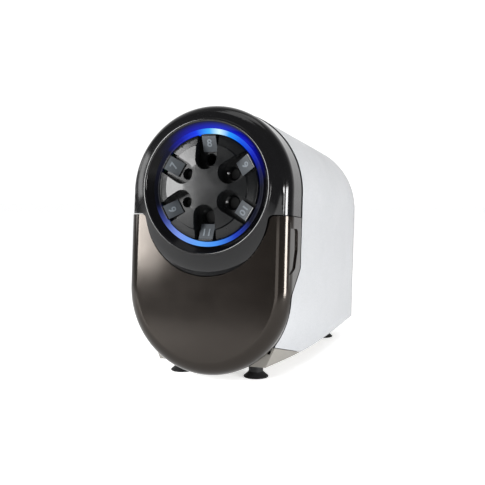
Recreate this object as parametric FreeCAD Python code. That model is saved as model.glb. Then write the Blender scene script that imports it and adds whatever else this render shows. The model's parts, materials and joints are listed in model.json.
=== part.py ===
"""Electric pencil sharpener with a six-size selector dial, a lit ring and a
pull-out shavings receptacle, modelled as the separate pieces it is built from.

The pieces are drawn in the body frame: x to the right, y rearward along the
body, z up from the lowest point of the front. The body leans back on its feet,
so settle() turns each piece by lean_deg and puts the origin on the ground,
under the middle of the whole object.
"""

import FreeCAD, Part
import math
import os

V = FreeCAD.Vector

# ---------------------------------------------------------------- overall size
half_width = 76.0            # half the width of the receptacle and the shell
face_height = 237.5          # front face, lowest to highest point
shell_end = 263.4            # rear edge of the silver shell
lean_deg = 5.0               # how far the body leans back on its feet
rear_floor = 30.0            # height of the underside at the rear edge
foot_height = 13.0           # ground to the underside

# ------------------------------------------------------------ walls, gaps, fits
shell_wall = 2.5
front_wall = 3.0
bezel_step = 0.7             # the bezel is narrower than the receptacle by this
front_round = 12.5           # rounding of the front edge
seam_gap = 0.8               # between bezel and receptacle
split_gap = 2.6              # between the front pieces and the shell
panel_gap = 0.5              # between shell and base
slide_gap = 0.6              # receptacle and bin to what they slide past
running_fit = 0.06           # radial, shafts and bushes
loose_fit = 0.3              # pieces that sit beside each other

# ------------------------------------------------- front split, seen from beside
split_depth = 34.5           # how far the upper front pieces reach back
split_drop_z = 96.0          # where the split turns forward
split_toe_z = 73.0           # where the turn ends
split_toe_y = 8.6
split_low_z = 18.0
split_low_y = 19.5
split_round = 8.0

# --------------------------------------------------- seam of bezel on receptacle
shoulder_z = 140.5
lobe_centre_z = 145.0
lobe_radius = 58.0
shoulder_round = 5.0

# ------------------------------------------------------------ ring, dial, lights
dial_z = 164.0               # height of the dial's centre
dial_radius = 46.5
dial_depth = 11.0            # rear of the dial behind the face
crown_rise = 5.5             # the dial's hub stands this far in front of the face
crown_radius = 37.5
crown_step = 2.0
dial_wall = 2.4
bore_boss_length = 3.5       # tube behind each pencil hole
guide_gap = 1.5              # between those tubes and the pencil guide
rim_radius = 58.5            # crest of the raised rim
rim_rise = 4.5
flare_width = 20.0           # the slope outside the rim, crest to face
flare_sink = 0.3             # the slope runs this far into the face, to merge
rim_inner = 51.4            # the funnel inside the rim ends at the light ring
pocket_radius = 10.0
pocket_floor = 8.2
pocket_count = 6
hole_circle = 25.0           # radius on which the pencil holes lie
smallest_pencil = 6.0        # bores rise by one millimetre a step
pencil_clearance = 0.15      # radial, pencil to bore
ramp_width = 13.0
ramp_start = 31.5
ramp_end = 44.6
ring_thickness = 4.0
led_board_y = 9.8            # front of the lamp board
ring_front = 1.2
lamp_count = 12              # lamps behind the light ring
dial_gap = 0.7               # dial edge to light ring
axle_radius = 4.0

# --------------------------------------------------------------------- receptacle
bin_radius = 62.0
bin_centre_z = 84.0
bin_top_z = 101.0
bin_front = 13.0
bin_end = 105.0
bin_wall = 2.0
flange_width = 5.0
grip_depth = 1.4

# ------------------------------------------------------------------ cutting gear
module_size = 1.0
pressure_deg = 22.0
ring_teeth = 40
planet_teeth = 10
carrier_teeth = 54
idler_small_teeth = 12
idler_large_teeth = 48
motor_teeth = 12
cutter_lean_deg = 11.0       # half the angle of the sharpened point
cutter_radius = 8.0
cutter_front = 58.5
cutter_end = 85.5
planet_y = 52.5              # middle of the planet gear
planet_face = 3.0
cutter_pin_radius = 1.5
cutter_hub_radius = 3.4
housing_radius = 27.0
housing_wall = 2.2
housing_front = 44.0
housing_end = 91.6
carrier_radius = 22.6
carrier_shaft_radius = 4.0
throat_radius = 6.2          # bore of the carrier's front journal
journal_wall = 2.1
front_plate_y = 92.0
front_plate_thick = 2.5
low_gear_y = 97.0            # carrier gear and small idler gear
high_gear_y = 103.5          # large idler gear and motor pinion
gear_face = 5.0
rear_plate_y = 111.0
rear_plate_thick = 3.0
idler_angle_deg = -127.0
motor_angle_deg = -30.0
idler_pin_radius = 2.5
motor_radius = 25.0
motor_length = 62.0
motor_shaft_radius = 2.5
bush_wall = 3.0

# ------------------------------------------------------------------- small pieces
foot_neck_radius = 6.5
foot_lip_radius = 11.2
foot_stem_radius = 3.5
front_foot_x = 36.0
front_foot_y = 40.0
rear_foot_x = 50.0
rear_foot_y = 232.0
floor_thick = 3.0
cover_thick = 3.2
gland_x = 38.0
gland_z = 62.0
gland_bore_radius = 3.9
gland_radius = 7.0
screw_radius = 1.6
screw_head_radius = 3.0
chassis_front = 17.0
chassis_thick = 3.0

# ------------------------------------------------------------------ worked out
lean = math.radians(lean_deg)
top_centre_z = face_height - half_width
pencil_z = dial_z + hole_circle
cover_end = shell_end + loose_fit + cover_thick
cutter_lean = math.radians(cutter_lean_deg)


def floor_z(y):
    """Height of the level underside, which slopes in the leaning body's frame."""
    return rear_floor - math.tan(lean) * (shell_end - y)


ground_drop = floor_z(0.0) * math.cos(lean) - foot_height
front_reach = front_round * (math.cos(lean) + math.sin(lean) - 1.0)
rear_reach = cover_end * math.cos(lean) + (face_height - loose_fit) * math.sin(lean)
middle_y = (front_reach + rear_reach) / 2.0


def settle(shape):
    """Turns a body-frame shape to its lean and puts it over the origin."""
    done = shape.copy()
    done.rotate(V(0, 0, 0), V(1, 0, 0), -lean_deg)
    done.translate(V(0, -middle_y, -ground_drop))
    return done


# ------------------------------------------------------------------ drawing aids
def joined(shapes):
    first = shapes[0]
    if len(shapes) == 1:
        return first
    return first.fuse(shapes[1:]).removeSplitter()


def line(a, b):
    return Part.LineSegment(a, b).toShape()


def arc(a, mid, b):
    return Part.Arc(a, mid, b).toShape()


def prism(edges, along):
    return Part.Face(Part.Wire(edges)).extrude(along)


def block(x0, x1, y0, y1, z0, z1):
    return Part.makeBox(x1 - x0, y1 - y0, z1 - z0, V(x0, y0, z0))


def rod(radius, y0, y1, x=0.0, z=0.0):
    """A cylinder lying along the body."""
    return Part.makeCylinder(radius, y1 - y0, V(x, y0, z), V(0, 1, 0))


def tube(outer, inner, y0, y1, x=0.0, z=0.0):
    return rod(outer, y0, y1, x, z).cut(rod(inner, y0 - 1, y1 + 1, x, z))


def cone(r0, r1, y0, y1, x=0.0, z=0.0):
    return Part.makeCone(r0, r1, y1 - y0, V(x, y0, z), V(0, 1, 0))


def turned(profile, x=0.0, z=0.0):
    """Revolves a closed outline of (radius, y) points about the body's axis."""
    corners = [V(x + r, y, z) for r, y in profile]
    wire = Part.makePolygon(corners + [corners[0]])
    return Part.Face(wire).revolve(V(x, 0, z), V(0, 1, 0), 360)


def spun(shape, angle_deg, x=0.0, z=0.0):
    """Turns a copy about the body's axis, from +x towards +z."""
    done = shape.copy()
    done.rotate(V(x, 0, z), V(0, 1, 0), -angle_deg)
    return done


def mirrored(shape):
    return shape.mirror(V(0, 0, 0), V(1, 0, 0))


def rounded_path(points, radius):
    """Straight runs in the y-z plane, their inner corners rounded."""
    edges = []
    start = points[0]
    for before, corner, after in zip(points, points[1:], points[2:]):
        back = (before - corner).normalize()
        ahead = (after - corner).normalize()
        half = back.getAngle(ahead) / 2.0
        reach = radius / math.tan(half)
        middle = (back + ahead).normalize()
        centre = corner + middle * (radius / math.sin(half))
        into = corner + back * reach
        out = corner + ahead * reach
        edges.append(line(start, into))
        edges.append(arc(into, centre - middle * radius, out))
        start = out
    edges.append(line(start, points[-1]))
    return edges


# ---------------------------------------------------------------- body outlines
def stadium_wire(reach, y):
    """Two half rounds joined by straight sides, as wide as twice the reach."""
    high = V(0, y, top_centre_z + reach)
    low = V(0, y, half_width - reach)
    right_top = V(reach, y, top_centre_z)
    left_top = V(-reach, y, top_centre_z)
    right_low = V(reach, y, half_width)
    left_low = V(-reach, y, half_width)
    return Part.Wire([
        arc(right_top, high, left_top),
        line(left_top, left_low),
        arc(left_low, low, right_low),
        line(right_low, right_top),
    ])


def stadium_block(reach, y0, y1, edge_round):
    solid = Part.Face(stadium_wire(reach, y0)).extrude(V(0, y1 - y0, 0))
    edges = [e for e in solid.Edges if e.BoundBox.YMax < y0 + 0.01]
    return solid.makeFillet(edge_round, edges)


def above_seam(shrink):
    """Everything above the bezel's lower edge, which is moved up by shrink."""
    far = half_width * 2
    y0 = -40.0
    round_x = math.sqrt((lobe_radius + shoulder_round) ** 2
                        - (shoulder_z - shoulder_round - lobe_centre_z) ** 2)
    round_z = shoulder_z - shoulder_round
    towards = V(round_x, 0, round_z - lobe_centre_z).normalize()
    touch = V(0, y0, lobe_centre_z) + towards * (lobe_radius - shrink)
    flat = V(round_x, y0, shoulder_z + shrink)
    middle = (V(0, 0, 1) - towards).normalize()
    crook = V(round_x, y0, round_z) + middle * (shoulder_round + shrink)
    low = V(0, y0, lobe_centre_z - lobe_radius + shrink)

    def other(p):
        return V(-p.x, p.y, p.z)

    side = V(far, y0, shoulder_z + shrink)
    top = V(far, y0, face_height * 2)
    return prism([
        line(side, flat),
        arc(flat, crook, touch),
        arc(touch, low, other(touch)),
        arc(other(touch), other(crook), other(flat)),
        line(other(flat), other(side)),
        line(other(side), other(top)),
        line(other(top), top),
        line(top, side),
    ], V(0, 200, 0))


def before_split(shift):
    """Everything in front of the split between front pieces and shell."""
    far = half_width * 2
    x0 = -far
    path = [
        V(x0, split_depth + shift, face_height * 2),
        V(x0, split_depth + shift, split_drop_z),
        V(x0, split_toe_y + shift, split_toe_z),
        V(x0, split_low_y + shift, split_low_z),
        V(x0, split_low_y + shift, -60.0),
    ]
    edges = rounded_path(path, split_round)
    low_front = V(x0, -80.0, -60.0)
    high_front = V(x0, -80.0, face_height * 2)
    edges.append(line(path[-1], low_front))
    edges.append(line(low_front, high_front))
    edges.append(line(high_front, path[0]))
    return prism(edges, V(2 * far, 0, 0))


def body_section(y, inset, below=0.0):
    """The shell's outline at y: round top, upright sides, tucked-in lower edge.

    The lower sides follow the front's round at the front and straighten
    towards the rear, where only a small slanted corner is left.
    """
    reach = half_width - inset
    along = min(max((y - 26.0) / (shell_end - 26.0), 0.0), 1.0)
    ease = 1.0 - (1.0 - along) ** 2.5
    knee_angle = math.radians(38.0)
    knee_x = half_width * (math.cos(knee_angle) * (1 - ease) + ease)
    knee_z = half_width * (1 - math.sin(knee_angle)) + 7.0 * along
    pull = 0.222 * half_width
    pull_x = knee_x + pull * math.sin(knee_angle) * (1 - ease)
    pull_z = knee_z + pull * (math.cos(knee_angle) * (1 - ease) + ease)
    corner_x = half_width * (0.663 + 0.241 * (1 - (1 - along) ** 3.5))
    corner_z = floor_z(y) - below
    knee_x -= inset * (1 - 0.15 * (1 - ease))
    pull_x -= inset
    knee_z += inset * 0.45
    pull_z += inset * 0.4
    corner_x -= inset * 1.25

    def side(sign):
        start = V(sign * reach, y, half_width)
        shape = Part.BezierCurve()
        shape.setPoles([
            start,
            V(sign * reach, y, half_width - pull),
            V(sign * pull_x, y, pull_z),
            V(sign * knee_x, y, knee_z),
        ])
        return shape

    right = side(1)
    left = side(-1)
    left_start = V(-reach, y, half_width)
    right_start = V(reach, y, half_width)
    left_knee = V(-knee_x, y, knee_z)
    right_knee = V(knee_x, y, knee_z)
    left_corner = V(-corner_x, y, corner_z)
    right_corner = V(corner_x, y, corner_z)
    left_top = V(-reach, y, top_centre_z)
    right_top = V(reach, y, top_centre_z)
    right.setPoles(list(reversed(right.getPoles())))
    return Part.Wire([
        arc(right_top, V(0, y, top_centre_z + reach), left_top),
        line(left_top, left_start),
        left.toShape(),
        line(left_knee, left_corner),
        line(left_corner, right_corner),
        line(right_corner, right_knee),
        right.toShape(),
        line(right_start, right_top),
    ])


def body_block(inset, y0, y1, below=0.0):
    count = 6
    sections = []
    for i in range(count + 1):
        y = y0 + (y1 - y0) * i / count
        sections.append(body_section(y, inset, below))
    return Part.makeLoft(sections, True, False)


def below_seam_wedge(drop):
    """Everything under the slanting lower front edge of the shell."""
    far = half_width * 2
    x0 = -far
    seam_end_y = 93.0
    rise = 0.17
    end = V(x0, seam_end_y, floor_z(seam_end_y) - drop)
    start = V(x0, -5.0, floor_z(seam_end_y) + rise * (seam_end_y + 5.0) - drop)
    low_end = V(x0, seam_end_y, -60.0)
    low_start = V(x0, -5.0, -60.0)
    return prism([
        line(start, end),
        line(end, low_end),
        line(low_end, low_start),
        line(low_start, start),
    ], V(2 * far, 0, 0))


def floor_slab(y0, y1, thick, lift=0.0):
    """A slab on the level underside, between two places along the body."""
    far = half_width * 2
    x0 = -far
    low = lift / math.cos(lean)
    high = (lift + thick) / math.cos(lean)
    a = V(x0, y0, floor_z(y0) + low)
    b = V(x0, y1, floor_z(y1) + low)
    c = V(x0, y1, floor_z(y1) + high)
    d = V(x0, y0, floor_z(y0) + high)
    return prism([line(a, b), line(b, c), line(c, d), line(d, a)], V(2 * far, 0, 0))


# --------------------------------------------------------------------- housing
shell_screw_spots = [(57.0, 130.0), (57.0, 200.0), (-57.0, 130.0), (-57.0, 200.0)]
cover_screw_spots = [(58.0, 60.0), (-58.0, 60.0), (50.0, 205.0), (-50.0, 205.0)]
bezel_screw_spots = [(36.0, 216.0), (-36.0, 216.0), (42.0, 119.0), (-42.0, 119.0)]


def make_body_shell():
    start = split_toe_y
    outer = body_block(0.0, start, shell_end)
    inner = body_block(shell_wall, start - 1.0, shell_end + 1.0, below=3.0)
    shell = outer.cut(inner)
    shell = shell.cut([before_split(split_gap), below_seam_wedge(0.0)])
    bosses = []
    for x, z in cover_screw_spots:
        post = rod(4.0, shell_end - 22.0, shell_end - 6.0, x, z)
        web_end = half_width * 2 * (1 if x > 0 else -1)
        web = block(min(x, web_end), max(x, web_end), shell_end - 22.0,
                    shell_end - 6.0, z - 1.2, z + 1.2)
        bosses.append(post.fuse(web))
    for x, y in shell_screw_spots:
        if x > 0:
            tab = level_stack(x - 4.5, half_width * 2, y - 6.0, y + 6.0, 0.0, 10.0)
            bosses.extend([tab, mirrored(tab)])
    kept = joined(bosses).common(body_block(0.5, start, shell_end))
    drills = []
    for x, z in cover_screw_spots:
        drills.append(rod(screw_radius, shell_end - 18.0, shell_end, x, z))
    for x, y in shell_screw_spots:
        drills.append(upright_rod(screw_radius, x, y, -2.0, floor_thick + 9.0))
    return joined([shell, kept]).cut(drills)


def make_base_plate():
    outer = body_block(0.0, split_low_y, shell_end)
    band = outer.cut(body_block(shell_wall, 0.0, shell_end + 1.0, below=3.0))
    front_cut = block(-200, 200, -20.0, split_low_y + split_gap, -60, 200)
    tub_zone = below_seam_wedge(panel_gap)
    sides = band.common(tub_zone).cut(front_cut)
    slab = floor_slab(0.0, shell_end - 8.0, floor_thick)
    pan = outer.common(slab).common(tub_zone).cut(front_cut)
    inner = body_block(shell_wall + loose_fit, split_low_y, shell_end + 1.0)
    floor = inner.common(slab).cut(front_cut)
    front_y = split_low_y + split_gap
    front = block(-200, 200, front_y, front_y + floor_thick, 0.0,
                  bin_centre_z - bin_radius - slide_gap - 0.6)
    front = outer.common(front).common(tub_zone)
    pieces = joined([sides, pan, floor, front])
    holes = []
    for x, y in foot_spots():
        holes.append(upright_rod(foot_stem_radius + loose_fit, x, y,
                                 -2.0, floor_thick + 2.0))
    for x, y in shell_screw_spots:
        holes.append(upright_rod(screw_radius + loose_fit, x, y,
                                 -2.0, floor_thick + 2.0))
    return pieces.cut(holes)


def foot_spots():
    return [
        (front_foot_x, front_foot_y),
        (-front_foot_x, front_foot_y),
        (rear_foot_x, rear_foot_y),
        (-rear_foot_x, rear_foot_y),
    ]


def upright_rod(radius, x, y, low, high):
    """A cylinder square to the level underside, from low to high above it."""
    up = V(0, -math.sin(lean), math.cos(lean))
    foot = V(x, y, floor_z(y))
    return Part.makeCylinder(radius, high - low, foot + up * low, up)


def make_foot(x, y):
    """A rubber suction foot: cup, neck, and a stem that snaps in the base."""
    up = V(0, -math.sin(lean), math.cos(lean))
    base = V(x, y, floor_z(y)) - up * foot_height

    def at(r, h):
        return base + V(1, 0, 0) * r + up * h

    outline = [
        line(at(0, 2.6), at(2.0, 2.6)),
        arc(at(2.0, 2.6), at(foot_lip_radius * 0.6, 1.7), at(foot_lip_radius - 1.6, 0)),
        line(at(foot_lip_radius - 1.6, 0), at(foot_lip_radius, 0)),
        line(at(foot_lip_radius, 0), at(foot_lip_radius, 0.9)),
        arc(at(foot_lip_radius, 0.9), at(foot_lip_radius - 2.8, 3.2),
            at(foot_neck_radius, 5.2)),
        line(at(foot_neck_radius, 5.2), at(foot_neck_radius, foot_height)),
        line(at(foot_neck_radius, foot_height), at(foot_stem_radius, foot_height)),
        line(at(foot_stem_radius, foot_height),
             at(foot_stem_radius, foot_height + floor_thick)),
        line(at(foot_stem_radius, foot_height + floor_thick),
             at(foot_stem_radius + 1.2, foot_height + floor_thick)),
        line(at(foot_stem_radius + 1.2, foot_height + floor_thick),
             at(foot_stem_radius, foot_height + floor_thick + 2.2)),
        line(at(foot_stem_radius, foot_height + floor_thick + 2.2),
             at(0, foot_height + floor_thick + 2.2)),
        line(at(0, foot_height + floor_thick + 2.2), at(0, 2.6)),
    ]
    return Part.Face(Part.Wire(outline)).revolve(base, up, 360)


def make_rear_cover():
    start = shell_end + loose_fit
    outline = body_section(shell_end, loose_fit)
    plate = Part.Face(outline).extrude(V(0, cover_thick, 0))
    plate.translate(V(0, loose_fit, 0))
    lip_outer = body_section(shell_end, shell_wall + loose_fit)
    lip = Part.Face(lip_outer).extrude(V(0, -5.0, 0))
    core = Part.Face(body_section(shell_end, shell_wall + 2.2)).extrude(V(0, -9.0, 0))
    core.translate(V(0, 2.0, 0))
    lip = lip.cut(core)
    lip.translate(V(0, loose_fit, 0))
    lip = lip.cut(block(-200, 200, 0, 400, 0, rear_floor + floor_thick + 2.5))
    pad = rod(gland_radius + 4.0, start - 4.0, start + 0.5, gland_x, gland_z)
    cover = joined([plate, lip, pad])
    cuts = [rod(gland_radius, start - 10.0, cover_end + 1.0, gland_x, gland_z)]
    for x, z in cover_screw_spots:
        cuts.append(rod(screw_radius + loose_fit, start - 10, cover_end + 1, x, z))
        cuts.append(rod(screw_head_radius + loose_fit, cover_end - 1.6,
                        cover_end + 1, x, z))
    vent_rows = 7
    vent_pitch = 8.0
    for i in range(vent_rows):
        z = dial_z - 26.0 + i * vent_pitch
        for side in (-1, 1):
            low = min(side * 8.0, side * 44.0)
            slot = block(low, low + 36.0, start - 1, cover_end + 1, z, z + 3.2)
            cuts.append(slot)
    return cover.cut(cuts)


def make_cord_gland():
    start = shell_end + loose_fit
    body = rod(gland_radius - 0.05, start - 9.0, cover_end + 0.01, gland_x, gland_z)
    nose = rod(gland_radius + 2.0, cover_end, cover_end + 3.5, gland_x, gland_z)
    nut = rod(gland_radius + 3.5, start - 9.0, start - 4.2, gland_x, gland_z)
    bore = rod(gland_bore_radius, start - 20.0, cover_end + 20.0, gland_x, gland_z)
    return joined([body, nose, nut]).cut(bore)


# ---------------------------------------------------------------- front pieces
def rim_flare():
    """Disc whose edge is hollowed by a ring, so it slopes from crest to face."""
    fall = rim_rise + flare_sink
    radius = (flare_width ** 2 + fall ** 2) / (2 * fall)
    end = rim_radius + flare_width
    disc = rod(end, -rim_rise - 2.0, flare_sink, 0.0, dial_z)
    middle = V(0, flare_sink - radius, dial_z)
    ring = Part.makeTorus(end, radius, middle, V(0, 1, 0))
    return disc.cut(ring)


def bezel_outer():
    reach = half_width - bezel_step
    plate = stadium_block(reach, 0.0, split_depth + 10.0, front_round)
    tall_round = front_round + rim_rise
    crown = stadium_block(reach, -rim_rise, split_depth, tall_round)
    return plate.fuse(crown.common(rim_flare()))


def make_front_bezel():
    solid = bezel_outer().common(above_seam(seam_gap / 2)).common(before_split(0.0))
    reach = half_width - bezel_step - front_wall
    hollow = stadium_block(reach, front_wall, split_depth + 10.0,
                           front_round - front_wall)
    hollow = hollow.common(above_seam(seam_gap / 2 + front_wall))
    mouth = cone(rim_radius - 0.5, rim_inner, -rim_rise - 0.01, ring_front + 0.2,
                 0.0, dial_z)
    throat = rod(rim_inner, ring_front, split_depth, 0.0, dial_z)
    lip = tube(rim_inner + 2.4, rim_inner - 0.5, 0.5, led_board_y, 0.0, dial_z)
    solid = solid.cut(hollow).fuse(lip).cut([mouth, throat])
    posts = []
    drills = []
    for x, z in bezel_screw_spots:
        posts.append(rod(3.6, front_wall - 0.5, chassis_front, x, z))
        drills.append(rod(screw_radius, front_wall + 3.0, chassis_front + 1, x, z))
    kept = joined(posts).cut(rod(rim_inner + 0.2, -20, 60, 0.0, dial_z))
    return joined([solid, kept]).cut(drills)


def make_light_ring():
    """Frosted ring between the dial and the rim; its face slopes to the dial."""
    inner = dial_radius + dial_gap
    outer = rim_inner
    ring = turned([
        (inner, ring_front + 1.2),
        (inner + 1.0, ring_front + 1.6),
        (outer, ring_front),
        (outer, ring_front + ring_thickness),
        (inner, ring_front + ring_thickness),
    ], 0.0, dial_z)
    return ring


def make_led_board():
    back = led_board_y
    board = tube(58.0, dial_radius + 1.6, back, back + 1.6, 0.0, dial_z)
    notches = []
    for x, z in bezel_screw_spots:
        notches.append(rod(4.4, back - 1, back + 3, x, z))
    return board.cut(notches).common(above_seam(front_wall + 1.5))


def make_ring_leds():
    front = ring_front + ring_thickness + 0.6
    back = led_board_y
    lamps = []
    circle = (dial_radius + dial_gap + rim_inner) / 2
    for i in range(lamp_count):
        angle = math.radians(360.0 * i / lamp_count + 15.0)
        x = circle * math.cos(angle)
        z = dial_z + circle * math.sin(angle)
        lamps.append(block(x - 1.4, x + 1.4, front, back, z - 1.3, z + 1.3))
    return Part.makeCompound(lamps)


def make_front_chassis():
    reach = half_width - bezel_step - front_wall - slide_gap
    end = chassis_front + chassis_thick
    plate = stadium_block(reach, chassis_front, end, 0.5)
    plate = plate.common(above_seam(seam_gap / 2 + front_wall + slide_gap))
    sleeve_reach = half_width - shell_wall - loose_fit
    sleeve = Part.Face(stadium_wire(sleeve_reach, chassis_front + 1.0))
    sleeve = sleeve.extrude(V(0, 40.0, 0))
    core = Part.Face(stadium_wire(sleeve_reach - 2.2, 0.0)).extrude(V(0, 90.0, 0))
    neck = stadium_block(reach, chassis_front, split_depth + 4.0, 0.5)
    wide = sleeve.cut(core).cut(block(-200, 200, 0, split_depth + 1.5, 0, 400))
    narrow = neck.cut(Part.Face(stadium_wire(reach - 2.2, 0.0)).extrude(V(0, 90, 0)))
    step = sleeve.cut(Part.Face(stadium_wire(reach - 2.2, 0.0)).extrude(V(0, 90, 0)))
    step = step.common(block(-200, 200, split_depth + 1.5, split_depth + 4.0, 0, 400))
    walls = joined([wide, narrow, step])
    walls = walls.cut(block(-200, 200, -20, 200, -50, shoulder_z + 4.0))
    body = joined([plate, walls])
    cuts = [
        rod(9.5, 0, 60, 0.0, pencil_z),
        rod(axle_radius, 0, 60, 0.0, dial_z),
    ]
    for x, z in bezel_screw_spots:
        cuts.append(rod(screw_radius + loose_fit, 0, 60, x, z))
    return body.cut(cuts)


def make_drawer_guide(side):
    """Black liner behind the split, with the ledge that the bin's flange rides on."""
    reach = half_width - front_wall - slide_gap
    end = 62.0
    liner = Part.Face(stadium_wire(reach, 0.0)).extrude(V(0, 90.0, 0))
    core = Part.Face(stadium_wire(reach - 1.8, -1.0)).extrude(V(0, 95.0, 0))
    liner = liner.cut(core)
    liner = liner.common(block(0, 200, split_toe_y + 3.0, end, 0,
                               shoulder_z - front_wall - 1.4))
    liner = liner.common(floor_slab(0.0, 100.0, 200.0, floor_thick + loose_fit))
    ledge_top = bin_top_z - 3.0 - slide_gap
    ledge = block(bin_radius + slide_gap, reach - 0.5, split_depth + 1.0, end,
                  ledge_top - 2.0, ledge_top)
    front_bar = block(-reach, reach, 0.0, split_low_y + split_gap + floor_thick + 0.4,
                      0.0, bin_centre_z - bin_radius)
    stem_room = upright_rod(foot_stem_radius + 1.8, front_foot_x, front_foot_y, 0, 20)
    right = joined([liner, ledge]).cut([front_bar, stem_room])
    if side > 0:
        return right
    return mirrored(right)


# ------------------------------------------------------------------ receptacle
def grip_cutter():
    """Outline of the shallow finger grip, beside the split on each side."""
    x0 = half_width - grip_depth
    back = split_depth - 9.5
    points = [
        V(x0, -5.0, split_toe_z + 13.0),
        V(x0, back - 6.0, split_drop_z + 0.0),
        V(x0, back, split_drop_z + 16.0),
        V(x0, back - 1.0, shoulder_z - 10.5),
        V(x0, -5.0, shoulder_z - 10.5),
    ]
    edges = rounded_path(points, 4.0)
    edges.append(line(points[-1], points[0]))
    right = prism(edges, V(20, 0, 0))
    return [right, mirrored(right)]


def make_receptacle_front():
    shape = stadium_block(half_width, 0.0, split_depth + 10.0, front_round)
    shape = shape.cut(above_seam(-seam_gap / 2)).common(before_split(0.0))
    hollow = stadium_block(half_width - front_wall, front_wall, split_depth + 20.0,
                           front_round - front_wall)
    hollow = hollow.cut(above_seam(-seam_gap / 2 - front_wall))
    shape = shape.cut([hollow] + grip_cutter())
    posts = []
    drills = []
    for x, z in bin_screw_spots():
        posts.append(rod(4.0, front_wall - 0.5, bin_front, x, z))
        drills.append(rod(screw_radius, front_wall + 3.0, bin_front + 1.0, x, z))
    return joined([shape] + posts).cut(drills)


def bin_screw_spots():
    low = bin_centre_z - bin_radius * 0.55
    return [(34.0, low), (-34.0, low), (48.0, 78.0), (-48.0, 78.0)]


def trough_wire(inset, y, top):
    """A round-bottomed tray seen from the front."""
    r = bin_radius - inset
    return Part.Wire([
        arc(V(-r, y, bin_centre_z), V(0, y, bin_centre_z - r), V(r, y, bin_centre_z)),
        line(V(r, y, bin_centre_z), V(r, y, top)),
        line(V(r, y, top), V(-r, y, top)),
        line(V(-r, y, top), V(-r, y, bin_centre_z)),
    ])


def make_receptacle_bin():
    outside = Part.Face(trough_wire(0.0, bin_front, bin_top_z))
    outside = outside.extrude(V(0, bin_end - bin_front, 0))
    inside = Part.Face(trough_wire(bin_wall, bin_front + bin_wall, bin_top_z + 30))
    inside = inside.extrude(V(0, bin_end - bin_front - 2 * bin_wall, 0))
    scoop_radius = lobe_radius + seam_gap / 2 + front_wall + loose_fit
    scoop = rod(scoop_radius, 0, bin_end + 1.0, 0.0, lobe_centre_z)
    tray = outside.cut(inside)
    flanges = []
    for side in (-1, 1):
        low = min(side * (bin_radius - 1.0), side * (bin_radius + flange_width))
        flanges.append(block(low, low + flange_width + 1.0, split_depth + 2.0,
                             bin_end, bin_top_z - 3.0, bin_top_z))
    tray = joined([tray] + flanges).cut(scoop)
    holes = []
    for x, z in bin_screw_spots():
        holes.append(rod(screw_radius + loose_fit, 0, bin_front + 10, x, z))
    pocket = rod(4.0, bin_end - 1.2, bin_end + 1.0, 40.0, 90.0)
    return tray.cut(holes + [pocket])


def make_interlock_magnet():
    return rod(3.9, bin_end - 1.2, bin_end + 1.0, 40.0, 90.0)


def make_reed_switch():
    holder = block(32.0, 48.0, bin_end + 2.5, rear_plate_y, 84.0, 96.0)
    glass = Part.makeCylinder(1.4, 12.0, V(34.0, bin_end + 2.5, 90.0), V(1, 0, 0))
    return holder.cut(glass)


# ------------------------------------------------------------------------ dial
def pencil_sizes():
    """Bore diameters in dial order, from the top, going to the right."""
    return [smallest_pencil + (i + 2) % pocket_count for i in range(pocket_count)]


def pocket_outline(radius, y0, y1):
    """A U opening outwards, at the top of the dial."""
    z = dial_z + hole_circle
    far = dial_z + dial_radius + 12.0
    edges = [
        arc(V(-radius, y0, z), V(0, y0, z - radius), V(radius, y0, z)),
        line(V(radius, y0, z), V(radius, y0, far)),
        line(V(radius, y0, far), V(-radius, y0, far)),
        line(V(-radius, y0, far), V(-radius, y0, z)),
    ]
    return prism(edges, V(0, y1 - y0, 0))


def dial_envelope(inset):
    """Domed hub, a short slanted step, then a skirt that slopes to the edge."""
    step_y = -crown_rise + 2.2
    return turned([
        (0.0, -crown_rise + inset),
        (crown_radius * 0.55, -crown_rise + 0.35 + inset),
        (crown_radius - inset, step_y + inset),
        (crown_radius + 0.8 - inset, step_y + crown_step + inset),
        (dial_radius - 1.2 - inset, 0.0 + inset),
        (dial_radius - inset, 1.2 + inset),
        (dial_radius - inset, dial_depth),
        (0.0, dial_depth),
    ], 0.0, dial_z)


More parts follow.
